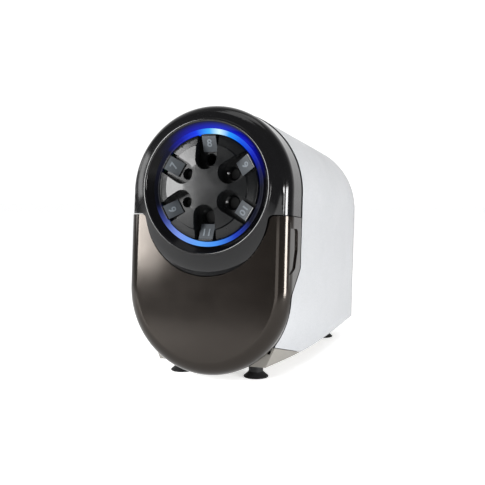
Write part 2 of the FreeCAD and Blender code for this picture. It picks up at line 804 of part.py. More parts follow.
def make_selector_dial():
    outer = dial_envelope(0.0)
    hollow = dial_envelope(dial_wall)
    hollow = hollow.fuse(rod(dial_radius - dial_wall, dial_depth - 3.0,
                             dial_depth + 1.0, 0.0, dial_z))
    hub = rod(axle_radius + 4.0, -crown_rise + 1.0, chassis_front - 0.6, 0.0, dial_z)
    cups = []
    pockets = []
    ramps = []
    bosses = []
    bores = []
    for i, size in enumerate(pencil_sizes()):
        turn = -360.0 * i / pocket_count
        cup = pocket_outline(pocket_radius + dial_wall, -20.0, dial_depth)
        cups.append(spun(cup, turn, 0.0, dial_z))
        pocket = pocket_outline(pocket_radius, -20.0, pocket_floor)
        pockets.append(spun(pocket, turn, 0.0, dial_z))
        low_y = pocket_floor - 1.6
        z0 = dial_z + ramp_start
        z1 = dial_z + ramp_end
        x0 = -ramp_width / 2
        foot_a = V(x0, pocket_floor + 0.5, z0)
        foot_b = V(x0, pocket_floor + 0.5, z1 + 3.0)
        edge_b = V(x0, 0.6, z1 + 3.0)
        edge_a = V(x0, 0.6, z1)
        toe = V(x0, low_y, z0)
        ramp = prism([
            line(foot_a, foot_b),
            line(foot_b, edge_b),
            line(edge_b, edge_a),
            line(edge_a, toe),
            line(toe, foot_a),
        ], V(ramp_width, 0, 0))
        ramp = ramp.common(rod(dial_radius, -20, 20, 0.0, dial_z))
        ramps.append(spun(ramp, turn, 0.0, dial_z))
        radius = size / 2 + pencil_clearance
        boss = rod(radius + 2.0, dial_depth - 0.5, dial_depth + bore_boss_length,
                   0.0, pencil_z)
        bosses.append(spun(boss, turn, 0.0, dial_z))
        bore = rod(radius, -20.0, 40.0, 0.0, pencil_z)
        funnel = cone(radius + 1.6, radius, pocket_floor - 0.01, pocket_floor + 1.6,
                      0.0, pencil_z)
        bores.append(spun(bore.fuse(funnel), turn, 0.0, dial_z))
    solid = outer.cut(hollow)
    cups = joined(cups).common(outer)
    body = joined([solid, hub, cups]).cut(pockets)
    body = joined([body] + ramps + bosses).cut(bores)
    axle_hole = rod(axle_radius + running_fit, 0.0, 60.0, 0.0, dial_z)
    head_room = rod(axle_radius + 2.6, -1.0, 3.2, 0.0, dial_z)
    return body.cut([axle_hole, head_room])


def make_dial_axle():
    """Shoulder pin pressed in the chassis; its head keeps the dial on."""
    shank = rod(axle_radius, 2.0, chassis_front + chassis_thick + 2.0, 0.0, dial_z)
    head = rod(axle_radius + 2.2, 0.2, 2.6, 0.0, dial_z)
    return joined([shank, head])


def make_axle_clip():
    start = chassis_front + chassis_thick
    return tube(axle_radius + 3.0, axle_radius, start, start + 1.2, 0.0, dial_z)


def make_detent_spring():
    """Leaf on the chassis whose raised tip clicks behind the dial's rim."""
    x = -38.0
    z = dial_z - 6.0
    foot = block(x - 4, x + 4, chassis_front - 0.8, chassis_front, z - 12, z + 12)
    arm_low = V(x - 4, chassis_front - 0.8, z + 2)
    arm = prism([
        line(arm_low, V(x - 4, dial_depth + 1.0, z + 10)),
        line(V(x - 4, dial_depth + 1.0, z + 10), V(x - 4, dial_depth + 1.8, z + 11)),
        line(V(x - 4, dial_depth + 1.8, z + 11), V(x - 4, chassis_front, z + 3)),
        line(V(x - 4, chassis_front, z + 3), arm_low),
    ], V(8, 0, 0))
    return joined([foot, arm])


# ---------------------------------------------------------------------- gears
def tooth_half_angle(radius, teeth, slack):
    """Half the angle that a tooth takes up at a radius, on an involute flank."""
    pressure = math.radians(pressure_deg)
    pitch = module_size * teeth / 2.0
    base = pitch * math.cos(pressure)
    at_pitch = math.pi / (2 * teeth) - slack / (2 * pitch)
    rolled = math.tan(pressure) - pressure
    local = math.acos(min(1.0, base / max(radius, base)))
    return at_pitch + rolled - (math.tan(local) - local)


def gear_outline(teeth, tip, root, slack, phase_deg, y):
    """Closed wire of a spur gear about the origin, a tooth at phase_deg."""
    edges = []
    mid = (tip + root) / 2.0

    def at(radius, angle):
        return V(radius * math.cos(angle), y, radius * math.sin(angle))

    step = 2 * math.pi / teeth
    phase = math.radians(phase_deg)
    for i in range(teeth):
        centre = phase + i * step
        low = tooth_half_angle(root, teeth, slack)
        half = tooth_half_angle(mid, teeth, slack)
        top = tooth_half_angle(tip, teeth, slack)
        start = at(root, centre - low)
        crest_a = at(tip, centre - top)
        crest_b = at(tip, centre + top)
        end = at(root, centre + low)
        following = at(root, centre + step - low)
        edges.append(arc(start, at(mid, centre - half), crest_a))
        edges.append(line(crest_a, crest_b))
        edges.append(arc(crest_b, at(mid, centre + half), end))
        edges.append(line(end, following))
    return Part.Wire(edges)


gear_slack = 0.34            # backlash of the spur gears, shared by both teeth
planet_slack = 0.5           # more for the leaning planet gear
tip_rise = 0.72
root_fall = 1.05


def spur_gear(teeth, y0, y1, bore, phase_deg, x, z, slack=gear_slack):
    pitch = module_size * teeth / 2.0
    tip = pitch + tip_rise * module_size
    root = pitch - root_fall * module_size
    wire = gear_outline(teeth, tip, root, slack / 2, phase_deg, y0)
    solid = Part.Face(wire).extrude(V(0, y1 - y0, 0))
    solid.translate(V(x, 0, z))
    return solid.cut(rod(bore, y0 - 1, y1 + 1, x, z))


def meshing_phase(angle_deg, teeth_a, phase_a, teeth_b):
    """Phase of gear b that puts its gap on gear a's tooth."""
    pitch_a = 360.0 / teeth_a
    pitch_b = 360.0 / teeth_b
    share = 0.5 - (angle_deg - phase_a) / pitch_a
    return (angle_deg + 180.0 - pitch_b * share) % pitch_b


def idler_axis():
    distance = module_size * (carrier_teeth + idler_small_teeth) / 2.0
    angle = math.radians(idler_angle_deg)
    return distance * math.cos(angle), pencil_z + distance * math.sin(angle)


def motor_axis():
    distance = module_size * (idler_large_teeth + motor_teeth) / 2.0
    angle = math.radians(motor_angle_deg)
    x, z = idler_axis()
    return x + distance * math.cos(angle), z + distance * math.sin(angle)


def make_carrier_gear():
    gear = spur_gear(carrier_teeth, low_gear_y, low_gear_y + gear_face,
                     carrier_shaft_radius, 0.0, 0.0, pencil_z)
    web = tube(carrier_teeth * module_size / 2 - 4.0, 9.0, low_gear_y + gear_face - 1.8,
               low_gear_y + gear_face + 1.0, 0.0, pencil_z)
    return gear.cut(web)


def make_idler_gear():
    x, z = idler_axis()
    small_phase = meshing_phase(idler_angle_deg, carrier_teeth, 0.0,
                                idler_small_teeth)
    small = spur_gear(idler_small_teeth, low_gear_y, high_gear_y,
                      idler_pin_radius + running_fit, small_phase, x, z)
    large = spur_gear(idler_large_teeth, high_gear_y, high_gear_y + gear_face,
                      idler_pin_radius + running_fit, 0.0, x, z)
    web = tube(idler_large_teeth * module_size / 2 - 4.0, 7.5,
               high_gear_y + gear_face - 1.8, high_gear_y + gear_face + 1.0, x, z)
    return joined([small, large.cut(web)])


def make_idler_pin():
    x, z = idler_axis()
    return rod(idler_pin_radius, front_plate_y, rear_plate_y + rear_plate_thick, x, z)


def make_motor_pinion():
    x, z = motor_axis()
    phase = meshing_phase(motor_angle_deg, idler_large_teeth, 0.0, motor_teeth)
    return spur_gear(motor_teeth, high_gear_y - 0.5, high_gear_y + gear_face,
                     motor_shaft_radius, phase, x, z)


# -------------------------------------------------------------------- cutter
def leaning_frame(shape):
    """Puts a piece drawn along y at the origin on the leaning cutter's axis."""
    done = shape.copy()
    done.rotate(V(0, 0, 0), V(1, 0, 0), -cutter_lean_deg)
    distance = module_size * (ring_teeth - planet_teeth) / 2.0
    done.translate(V(0, planet_y, pencil_z + distance))
    return done


def along_cutter(y):
    """Distance along the leaning axis from the planet gear to a place y."""
    return (y - planet_y) / math.cos(cutter_lean)


def make_helical_cutter():
    """Hardened cutter with twisted teeth, and the hub that carries its gear."""
    flutes = 8
    start = along_cutter(cutter_front)
    end = along_cutter(cutter_end)
    steps = 6
    twist = math.radians(50.0)
    sections = []
    for i in range(steps + 1):
        y = start + (end - start) * i / steps
        points = []
        for k in range(flutes):
            centre = 2 * math.pi * k / flutes + twist * i / steps
            for share, radius in ((0.0, cutter_radius), (0.45, cutter_radius - 1.6)):
                angle = centre + share * 2 * math.pi / flutes
                points.append(V(radius * math.cos(angle), y, radius * math.sin(angle)))
        sections.append(Part.makePolygon(points + [points[0]]))
    body = Part.makeLoft(sections, True, True)
    hub = rod(cutter_hub_radius, planet_face / 2, start + 0.5)
    bore = rod(cutter_pin_radius + running_fit, -10.0, 60.0)
    return leaning_frame(joined([body, hub]).cut(bore))


def make_cutter_planet():
    pitch = module_size * planet_teeth / 2.0
    wire = gear_outline(planet_teeth, pitch + 0.55, pitch - 0.95, planet_slack / 2,
                        90.0, -planet_face / 2)
    gear = Part.Face(wire).extrude(V(0, planet_face, 0))
    gear = gear.cut(rod(cutter_pin_radius + running_fit, -10, 10))
    return leaning_frame(gear)


def make_cutter_pin():
    end = along_cutter(cutter_end) + 5.6
    pin = rod(cutter_pin_radius, -planet_face / 2 - 1.0, end)
    head = rod(cutter_pin_radius + 1.2, -planet_face / 2 - 1.6, -planet_face / 2 - 0.4)
    return leaning_frame(joined([pin, head]))


def make_ring_gear():
    pitch = module_size * ring_teeth / 2.0
    y0 = planet_y - planet_face / 2 - 0.6
    y1 = planet_y + planet_face / 2 + 0.6
    space = gear_outline(ring_teeth, pitch + 1.15, pitch - 0.5, -planet_slack / 2,
                         90.0, y0 - 1)
    teeth = Part.Face(space).extrude(V(0, y1 - y0 + 2, 0))
    teeth.translate(V(0, 0, pencil_z))
    outer = housing_radius - housing_wall
    return rod(outer, y0, y1, 0.0, pencil_z).cut(teeth)


def make_cutter_carrier():
    """Rotor that carries the cutter round the pencil."""
    journal_radius = throat_radius + journal_wall
    front = housing_front + 0.6
    disc_front = cutter_front - 3.4
    disc_end = cutter_front - 0.8
    tail = cutter_end + 1.6
    tail_end = tail + 3.4
    journal = rod(journal_radius, front, disc_end, 0.0, pencil_z)
    front_disc = rod(carrier_radius, disc_front, disc_end, 0.0, pencil_z)
    tail_disc = rod(carrier_radius - 2.0, tail, tail_end, 0.0, pencil_z)
    shaft = rod(carrier_shaft_radius, tail, rear_plate_y + rear_plate_thick + 1.5,
                0.0, pencil_z)
    wall = tube(carrier_radius - 0.6, carrier_radius - 5.2, disc_front, tail_end,
                0.0, pencil_z)
    weight = tube(carrier_radius - 0.6, 9.5, disc_front, tail_end, 0.0, pencil_z)
    keep_sides = []
    for side in (-1, 1):
        low = min(side * 14.0, side * 40.0)
        keep_sides.append(block(low, low + 26.0, 0, 200, pencil_z - 16, pencil_z + 6))
    keep_low = block(-9.0, 9.0, 0, 200, pencil_z - 40, pencil_z - 10)
    struts = wall.common(joined(keep_sides))
    ballast = weight.common(keep_low)
    body = joined([journal, front_disc, tail_disc, shaft, struts, ballast])
    throat = rod(throat_radius, 0.0, disc_end + 0.01, 0.0, pencil_z)
    point_room = cone(throat_radius, 0.8, disc_end, tail + 1.2, 0.0, pencil_z)
    sweep = leaning_frame(rod(cutter_radius + 0.7, along_cutter(cutter_front) - 0.7,
                              along_cutter(cutter_end) + 0.7))
    hub_room = leaning_frame(rod(cutter_hub_radius + running_fit, -5.0,
                                 along_cutter(cutter_front)))
    gear_room = leaning_frame(rod(planet_teeth * module_size / 2 + 1.1,
                                  -planet_face / 2 - 0.4, planet_face / 2 + 0.2))
    pin_room = leaning_frame(rod(cutter_pin_radius, 0.0,
                                 along_cutter(cutter_end) + 5.6))
    return body.cut([throat, point_room, sweep, hub_room, gear_room, pin_room])


def make_cutter_housing():
    """Fixed drum around the cutter, open below so the shavings drop out."""
    end_wall = 3.4
    drum = tube(housing_radius, housing_radius - housing_wall, housing_front,
                housing_end, 0.0, pencil_z)
    front = rod(housing_radius, housing_front, housing_front + end_wall,
                0.0, pencil_z)
    bush_hole = rod(throat_radius + journal_wall + bush_wall, 0, 60, 0.0, pencil_z)
    rim = tube(housing_radius + 4.5, housing_radius - 1.0, housing_end - 2.5,
               housing_end, 0.0, pencil_z)
    window = block(-17.0, 17.0, planet_y + 5.0, housing_end - 4.0, pencil_z - 60,
                   pencil_z - 12)
    return joined([drum, front, rim]).cut([bush_hole, window])


def make_front_bush():
    inner = throat_radius + journal_wall + running_fit
    outer = throat_radius + journal_wall + bush_wall
    return tube(outer, inner, housing_front, housing_front + 4.4, 0.0, pencil_z)


def plate_bush(y0, y1):
    inner = carrier_shaft_radius + running_fit
    return tube(carrier_shaft_radius + bush_wall, inner, y0, y1, 0.0, pencil_z)


# ----------------------------------------------------------- frame and motor
def spacer_spots():
    return [(40.0, 196.0), (-40.0, 196.0), (34.0, 152.0), (-52.0, 150.0)]


def make_gearbox_front_plate():
    end = front_plate_y + front_plate_thick
    plate = block(-58.0, 46.0, front_plate_y, end, 136.0, 222.0)
    plate = plate.common(rod(half_width - 9.0, 0, 200, 0.0, top_centre_z))
    ix, iz = idler_axis()
    mx, mz = motor_axis()
    cuts = [
        rod(carrier_shaft_radius + bush_wall, 0, 200, 0.0, pencil_z),
        rod(idler_pin_radius, 0, 200, ix, iz),
        rod(motor_shaft_radius + 1.5, 0, 200, mx, mz),
    ]
    for x, z in spacer_spots():
        cuts.append(rod(screw_radius, 0, 200, x, z))
    return plate.cut(cuts)


def make_gearbox_rear_plate():
    """Main frame plate, standing on the base behind the bin."""
    end = rear_plate_y + rear_plate_thick
    foot_z = floor_z(rear_plate_y) + floor_thick + 0.05
    plate = block(-58.0, 46.0, rear_plate_y, end, foot_z + 0.6, 222.0)
    plate = plate.common(body_block(shell_wall + 3.0, 90.0, 140.0))
    bend = block(-52.0, 44.0, rear_plate_y, rear_plate_y + 22.0, 0.0, 60.0)
    bend = bend.common(floor_slab(90.0, 160.0, 3.0, lift=floor_thick + 0.05))
    ix, iz = idler_axis()
    mx, mz = motor_axis()
    cuts = [
        rod(carrier_shaft_radius + bush_wall, 0, 200, 0.0, pencil_z),
        rod(idler_pin_radius, 0, 200, ix, iz),
        rod(9.0, 0, 200, mx, mz),
        block(-34.0, 26.0, 0, 400, foot_z + 18.0, 106.0),
    ]
    for x, z in spacer_spots():
        cuts.append(rod(screw_radius, 0, 200, x, z))
    for angle in (45.0, 135.0, 225.0, 315.0):
        mount_x = mx + 16.0 * math.cos(math.radians(angle))
        mount_z = mz + 16.0 * math.sin(math.radians(angle))
        cuts.append(rod(screw_radius, 0, 200, mount_x, mount_z))
    return joined([plate, bend]).cut(cuts)


def make_frame_spacers():
    low = front_plate_y + front_plate_thick
    posts = []
    for x, z in spacer_spots():
        posts.append(tube(4.0, screw_radius, low, rear_plate_y, x, z))
    return Part.makeCompound(posts)


def make_frame_screws():
    screws = []
    end = rear_plate_y + rear_plate_thick
    for x, z in spacer_spots():
        shank = rod(screw_radius, front_plate_y, end, x, z)
        head = rod(screw_head_radius, end, end + 2.0, x, z)
        screws.append(joined([shank, head]))
    return Part.makeCompound(screws)


def motor_start():
    return rear_plate_y + rear_plate_thick


def make_motor_can():
    x, z = motor_axis()
    y0 = motor_start()
    y1 = y0 + motor_length
    can = rod(motor_radius, y0, y1, x, z)
    hollow = rod(motor_radius - 1.8, y0 + 2.0, y1 + 1.0, x, z)
    boss = rod(8.8, rear_plate_y, y0 + 0.5, x, z)
    bore = rod(motor_shaft_radius + 0.4, 0, 400, x, z)
    return joined([can, boss]).cut(hollow).cut(bore)


def make_motor_end_cap():
    x, z = motor_axis()
    y1 = motor_start() + motor_length
    cap = rod(motor_radius, y1, y1 + 3.0, x, z)
    plug = rod(motor_radius - 2.0, y1 - 4.0, y1, x, z)
    bore = rod(motor_shaft_radius + 0.4, 0, 400, x, z)
    tabs = []
    for side in (-1, 1):
        low = min(side * 10.0, side * 12.0) + x
        tabs.append(block(low, low + 2.0, y1 + 3.0, y1 + 11.0, z - 3.0, z + 3.0))
    return joined([cap, plug]).cut(bore).fuse(tabs)


def make_motor_core():
    """Wound rotor on the motor's shaft."""
    x, z = motor_axis()
    y0 = motor_start() + 12.0
    return tube(motor_radius - 5.0, motor_shaft_radius, y0, y0 + 36.0, x, z)


def make_motor_shaft():
    x, z = motor_axis()
    end = motor_start() + motor_length + 26.0
    return rod(motor_shaft_radius, high_gear_y - 2.5, end, x, z)


def make_fan_wheel():
    x, z = motor_axis()
    y0 = motor_start() + motor_length + 13.0
    hub = rod(6.5, y0, y0 + 9.0, x, z)
    disc = rod(24.0, y0, y0 + 1.4, x, z)
    blades = []
    for i in range(8):
        blade = block(x + 5.0, x + 24.0, y0, y0 + 9.0, z - 0.6, z + 0.6)
        blades.append(spun(blade, 45.0 * i, x, z))
    wheel = joined([hub, disc] + blades)
    return wheel.cut(rod(motor_shaft_radius, 0, 400, x, z))


# ---------------------------------------------------- guide, start switch
lever_pivot_x = 16.0
lever_pivot_y = 24.0


def make_pencil_guide():
    """Funnel behind the dial that leads the pencil to the cutter."""
    front = dial_depth + bore_boss_length + guide_gap
    end = housing_front - loose_fit - 0.5
    flare = cone(9.4, 8.2, front, front + 5.0, 0.0, pencil_z)
    barrel = rod(8.2, front + 5.0, end, 0.0, pencil_z)
    flange = rod(13.0, chassis_front + chassis_thick,
                 chassis_front + chassis_thick + 2.0, 0.0, pencil_z)
    bore = rod(throat_radius - 0.2, front - 1, end + 1, 0.0, pencil_z)
    lead = cone(throat_radius + 2.2, throat_radius - 0.2, front - 0.01, front + 4.0,
                0.0, pencil_z)
    slot = block(0.0, 20.0, lever_pivot_y + 1.0, end - 2.0, pencil_z - 2.6,
                 pencil_z + 2.6)
    return joined([flare, barrel, flange]).cut([bore, lead, slot])


def make_start_lever():
    """Finger that a pencil pushes aside to start the motor."""
    z0 = pencil_z - 2.0
    z1 = pencil_z + 2.0
    x = lever_pivot_x
    y = lever_pivot_y
    boss = Part.makeCylinder(3.2, z1 - z0, V(x, y, z0), V(0, 0, 1))
    tip_y = y + 13.0
    points = [
        V(x - 2.6, y + 0.5, z0),
        V(x + 2.6, y + 0.5, z0),
        V(x - 5.5, tip_y, z0),
        V(x - 11.0, tip_y, z0),
        V(x - 11.8, tip_y - 2.2, z0),
    ]
    arm = Part.Face(Part.makePolygon(points + [points[0]])).extrude(V(0, 0, z1 - z0))
    body = joined([boss, arm])
    pin = Part.makeCylinder(1.2 + running_fit, 30.0, V(x, y, z0 - 10), V(0, 0, 1))
    return body.cut(pin)


def make_lever_bracket():
    """Cheeks on the chassis that hold the lever's pin and the start switch."""
    x = lever_pivot_x
    y = lever_pivot_y
    z0 = pencil_z - 2.0 - loose_fit
    z1 = pencil_z + 2.0 + loose_fit
    start = chassis_front + chassis_thick
    low = block(x - 1.6, x + 22.0, start, y + 5.2, z0 - 2.0, z0)
    high = block(x - 1.6, x + 22.0, start, y + 5.2, z1, z1 + 2.0)
    back = block(x + 4.6, x + 22.0, start, start + 1.2, z0, z1)
    pin = Part.makeCylinder(1.2, z1 - z0 + 4.0, V(x, y, z0 - 2.0), V(0, 0, 1))
    flange_room = rod(13.3, 0, start + 2.3, 0.0, pencil_z)
    barrel_room = rod(8.5, 0, 60, 0.0, pencil_z)
    body = joined([low, high, back]).cut([flange_room, barrel_room])
    return joined([body, pin])


def make_start_switch():
    x0 = lever_pivot_x + 1.0
    y0 = lever_pivot_y + 5.2
    body = block(x0, x0 + 10.0, y0, y0 + 14.0, pencil_z - 6.0, pencil_z + 6.0)
    button = Part.makeCylinder(1.2, 1.0, V(x0 - 1.0, y0 + 6.0, pencil_z), V(1, 0, 0))
    return joined([body, button])


# ------------------------------------------------------------------ electrics
def level_stack(x0, x1, y0, y1, low, high):
    """A block standing square on the level floor, low to high above it."""
    lift = floor_thick + low
    return floor_slab(y0, y1, high - low, lift).common(
        block(x0, x1, y0, y1, -50, 400))


def make_transformer():
    core = level_stack(-44.0, 14.0, 196.0, 240.0, 0.0, 50.0)
    waist = level_stack(-34.0, 4.0, 190.0, 246.0, 8.0, 42.0)
    return joined([core, waist])


def make_control_board():
    board = level_stack(18.0, 50.0, 150.0, 226.0, 8.0, 9.6)
    holes = []
    for y in (156.0, 220.0):
        for x in (22.0, 46.0):
            holes.append(upright_rod(1.5, x, y, 0, 60))
    return board.cut(holes)


def make_board_posts():
    posts = []
    for y in (156.0, 220.0):
        for x in (22.0, 46.0):
            post = upright_rod(3.2, x, y, floor_thick, floor_thick + 8.0)
            pin = upright_rod(1.5, x, y, floor_thick + 1.0, floor_thick + 11.5)
            posts.append(joined([post, pin]))
    return Part.makeCompound(posts)


def make_board_parts():
    bits = [
        level_stack(26.0, 42.0, 160.0, 178.0, 9.6, 24.0),
        level_stack(22.0, 28.0, 184.0, 212.0, 9.6, 28.0),
    ]
    for i in range(3):
        y = 184.0 + 12.5 * i
        bits.append(upright_rod(5.0, 40.0, y, floor_thick + 9.6, floor_thick + 27.0))
    return Part.makeCompound(bits)


def make_terminal_block():
    body = level_stack(-50.0, -34.0, 150.0, 182.0, 0.0, 12.0)
    wells = []
    for i in range(3):
        wells.append(upright_rod(2.6, -42.0, 156.0 + 10.0 * i, floor_thick + 7.0, 40))
    return body.cut(wells)


# ------------------------------------------------------------------ fasteners
def make_cover_screws():
    screws = []
    for x, z in cover_screw_spots:
        shank = rod(screw_radius, shell_end - 15.0, cover_end - 1.6, x, z)
        head = rod(screw_head_radius, cover_end - 1.6, cover_end - 0.1, x, z)
        slot = block(x - 2.2, x + 2.2, cover_end - 0.8, cover_end, z - 0.4, z + 0.4)
        cross = block(x - 0.4, x + 0.4, cover_end - 0.8, cover_end, z - 2.2, z + 2.2)
        screws.append(joined([shank, head]).cut([slot, cross]))
    return Part.makeCompound(screws)


def make_bezel_screws():
    screws = []
    back = chassis_front + chassis_thick
    for x, z in bezel_screw_spots:
        shank = rod(screw_radius, front_wall + 4.0, back, x, z)
        head = rod(screw_head_radius, back, back + 2.0, x, z)
        screws.append(joined([shank, head]))
    return Part.makeCompound(screws)


def make_bin_screws():
    screws = []
    back = bin_front + bin_wall
    for x, z in bin_screw_spots():
        shank = rod(screw_radius, front_wall + 4.0, back, x, z)
        head = rod(screw_head_radius, back, back + 2.0, x, z)
        screws.append(joined([shank, head]))
    return Part.makeCompound(screws)


def make_base_screws():
    screws = []
    for x, y in shell_screw_spots:
        shank = upright_rod(screw_radius, x, y, 0.0, 12.0)
        head = upright_rod(screw_head_radius, x, y, -1.8, 0.0)
        screws.append(joined([shank, head]))
    return Part.makeCompound(screws)


def make_parts():
    """Every piece by name, in the body frame."""
    parts = {
        "body_shell": make_body_shell(),
        "base_plate": make_base_plate(),
        "rear_cover": make_rear_cover(),
        "cord_gland": make_cord_gland(),
        "front_bezel": make_front_bezel(),
        "light_ring": make_light_ring(),
        "led_board": make_led_board(),
        "ring_leds": make_ring_leds(),
        "front_chassis": make_front_chassis(),
        "drawer_guide_right": make_drawer_guide(1),
        "drawer_guide_left": make_drawer_guide(-1),
        "receptacle_front": make_receptacle_front(),
        "receptacle_bin": make_receptacle_bin(),
        "receptacle_screws": make_bin_screws(),
        "interlock_magnet": make_interlock_magnet(),
        "reed_switch": make_reed_switch(),
        "selector_dial": make_selector_dial(),
        "dial_axle": make_dial_axle(),
        "dial_axle_clip": make_axle_clip(),
        "detent_spring": make_detent_spring(),
        "pencil_guide": make_pencil_guide(),
        "start_lever": make_start_lever(),
        "lever_bracket": make_lever_bracket(),
        "start_switch": make_start_switch(),
        "cutter_housing": make_cutter_housing(),
        "ring_gear": make_ring_gear(),
        "carrier_front_bush": make_front_bush(),
        "cutter_carrier": make_cutter_carrier(),
        "cutter_pin": make_cutter_pin(),
        "helical_cutter": make_helical_cutter(),
        "cutter_planet_gear": make_cutter_planet(),
        "carrier_gear": make_carrier_gear(),
        "carrier_middle_bush": plate_bush(front_plate_y - 0.3,
                                          front_plate_y + front_plate_thick + 1.0),
        "carrier_rear_bush": plate_bush(rear_plate_y - 1.0,
                                        rear_plate_y + rear_plate_thick),
        "idler_gear": make_idler_gear(),
        "idler_pin": make_idler_pin(),
        "gearbox_front_plate": make_gearbox_front_plate(),
        "gearbox_rear_plate": make_gearbox_rear_plate(),
        "frame_spacers": make_frame_spacers(),
        "frame_screws": make_frame_screws(),
        "motor_can": make_motor_can(),
        "motor_end_cap": make_motor_end_cap(),
        "motor_core": make_motor_core(),
        "motor_shaft": make_motor_shaft(),
        "motor_pinion": make_motor_pinion(),
        "fan_wheel": make_fan_wheel(),
        "transformer": make_transformer(),
        "control_board": make_control_board(),
        "board_posts": make_board_posts(),
        "board_parts": make_board_parts(),
        "terminal_block": make_terminal_block(),
        "cover_screws": make_cover_screws(),
        "bezel_screws": make_bezel_screws(),
        "base_screws": make_base_screws(),
    }
    names = ["front_right", "front_left", "rear_right", "rear_left"]
    for name, (x, y) in zip(names, foot_spots()):
        parts["foot_" + name] = make_foot(x, y)
    return parts


os.makedirs("parts", exist_ok=True)
for part_name, part_shape in make_parts().items():
    settle(part_shape).exportStep("parts/" + part_name + ".step")
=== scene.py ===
"""Looks of an electric pencil sharpener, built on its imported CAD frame."""
import json
import math
import bpy
from mathutils import Matrix, Vector


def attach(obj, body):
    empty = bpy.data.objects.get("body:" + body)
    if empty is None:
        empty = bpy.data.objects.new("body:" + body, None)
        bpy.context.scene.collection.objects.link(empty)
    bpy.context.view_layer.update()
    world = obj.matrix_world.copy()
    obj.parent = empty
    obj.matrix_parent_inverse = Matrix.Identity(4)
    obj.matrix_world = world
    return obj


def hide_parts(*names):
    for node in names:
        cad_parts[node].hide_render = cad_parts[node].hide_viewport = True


bl_info = {
    "name": "Pencil sharpener studio",
    "version": (1, 0, 0),
    "blender": (4, 5, 0),
    "location": "3D View > Sidebar > Sharpener",
    "description": "Finishes, small pieces and a studio for a desktop pencil sharpener",
    "category": "Object",
}

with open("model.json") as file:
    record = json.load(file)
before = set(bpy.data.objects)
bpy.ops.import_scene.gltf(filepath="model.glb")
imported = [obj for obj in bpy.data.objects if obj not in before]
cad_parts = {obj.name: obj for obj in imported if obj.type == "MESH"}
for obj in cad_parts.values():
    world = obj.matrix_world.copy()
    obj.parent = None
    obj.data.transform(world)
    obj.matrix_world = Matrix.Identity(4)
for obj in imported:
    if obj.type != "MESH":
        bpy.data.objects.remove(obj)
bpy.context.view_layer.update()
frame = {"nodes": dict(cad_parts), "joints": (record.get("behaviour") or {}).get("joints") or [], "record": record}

MM = 0.001
LEAN = math.radians(5.0)                 # how far the body leans back
REARWARD = Vector((0.0, math.cos(LEAN), -math.sin(LEAN)))
UPWARD = Vector((0.0, math.sin(LEAN), math.cos(LEAN)))
SIDEWAYS = Vector((1.0, 0.0, 0.0))


def joint_place(name):
    """Where a joint's axis passes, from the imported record."""
    for joint in frame["joints"]:
        if joint["name"] == name:
            return Vector(joint["pos_m"])
    raise RuntimeError("no joint named " + name)


# Millimetres from the dial's centre on the face plane; rearward and up are positive.
HALF_WIDTH = 76.0                        # of the housing
ARCH_Z = -2.5                            # centre of the housing's round top
JOINT_DEPTH = 5.0                        # of the dial's joint, on the dial's axis
# Bezel faces between these radii and depths get a painted glow that stands in for the ring's light.
FUNNEL_REACHES = (51.0, 57.6)            # radii that the funnel's faces lie between
FUNNEL_DEPTHS = (-4.2, 2.0)              # and their depths
PAINTED_GLOW_REACHES = (51.5, 58.0)              # radii where its glow starts to fade and ends
PAINTED_GLOW_SHARE = 0.55                 # of the ring's glow
RIM_RADIUS = 58.2                        # of the rim's crest
RIM_CREST = -4.5                         # how far the crest stands out
BEAD_HALF_WIDTH = 1.6
BEAD_HALF_DEPTH = 0.85
BEAD_SINK = 0.75                         # of the bead's middle, under the crest

POCKET_COUNT = 6
SMALLEST_PENCIL = 6                      # millimetres
TOP_POCKET = 2                           # sizes above the smallest, at the top
RAMP_RISE = 6.0
RAMP_LENGTH = 13.1
RAMP_SLOPE = math.atan2(RAMP_RISE, RAMP_LENGTH)
RAMP_INNER = 31.0                        # radius that the numbered ramps lie beyond
FIGURE_REACH = 38.6                      # from the dial's axis to a figure's middle
FIGURE_DEPTH = 3.35                      # behind the face, on the ramp
FIGURE_RAISE = 0.3
FIGURE_EDGE = 0.06
FIGURE_WEIGHT = 0.12                     # thickens the strokes
TYPE_PER_FIGURE = 1.35                   # type size over the height of a figure

WELD_MM = 0.002                          # closer corners of a CAD mesh are one
FLAT_DEG = 0.05                          # faces within this angle are one face
SHARP_DEG = 32.0                         # edges past this angle stay sharp
BEVEL_DEG = 40.0                         # edges past this angle are rounded
EDGE_STEPS = 3
RING_STEPS = 180
BEAD_STEPS = 20

DIAL_CENTRE = joint_place("dial_turn") - REARWARD * JOINT_DEPTH * MM

CAMERA_PLACE = (0.2422, -0.6972, 0.1672)
CAMERA_TURN_DEG = (85.767, 0.0, 20.239)
SENSOR_MM = 36.0
AIM = Vector((0.0, 0.0, 0.12))           # where every light points
LIGHTS = (                               # name, place, width, height, share of key
    ("key_light", (-0.80, -1.17, 0.5), 0.42, 0.7, 1.0),
    ("side_light", (-1.28, -0.62, 0.45), 0.3, 0.5, 0.11),
    ("front_light", (0.1, -1.4, 0.16), 0.5, 0.28, 0.045),
    ("fill_light", (1.15, -0.5, 0.18), 0.35, 0.35, 0.62),
    ("top_light", (0.1, -0.1, 1.5), 1.0, 0.5, 0.1),
)
FLOOR_SIZE = 14.0
BACKDROP_WAY = (-0.34, 0.94, -0.1)       # where the surroundings are brightest
BACKDROP_STARTS = 0.1                    # cosine from that way where they brighten
BACKDROP_FULL = 0.85                     # and where they are at full level


def on_face(x, y, z):
    """A point given in millimetres from the dial's centre on the face plane."""
    return DIAL_CENTRE + (SIDEWAYS * x + REARWARD * y + UPWARD * z) * MM


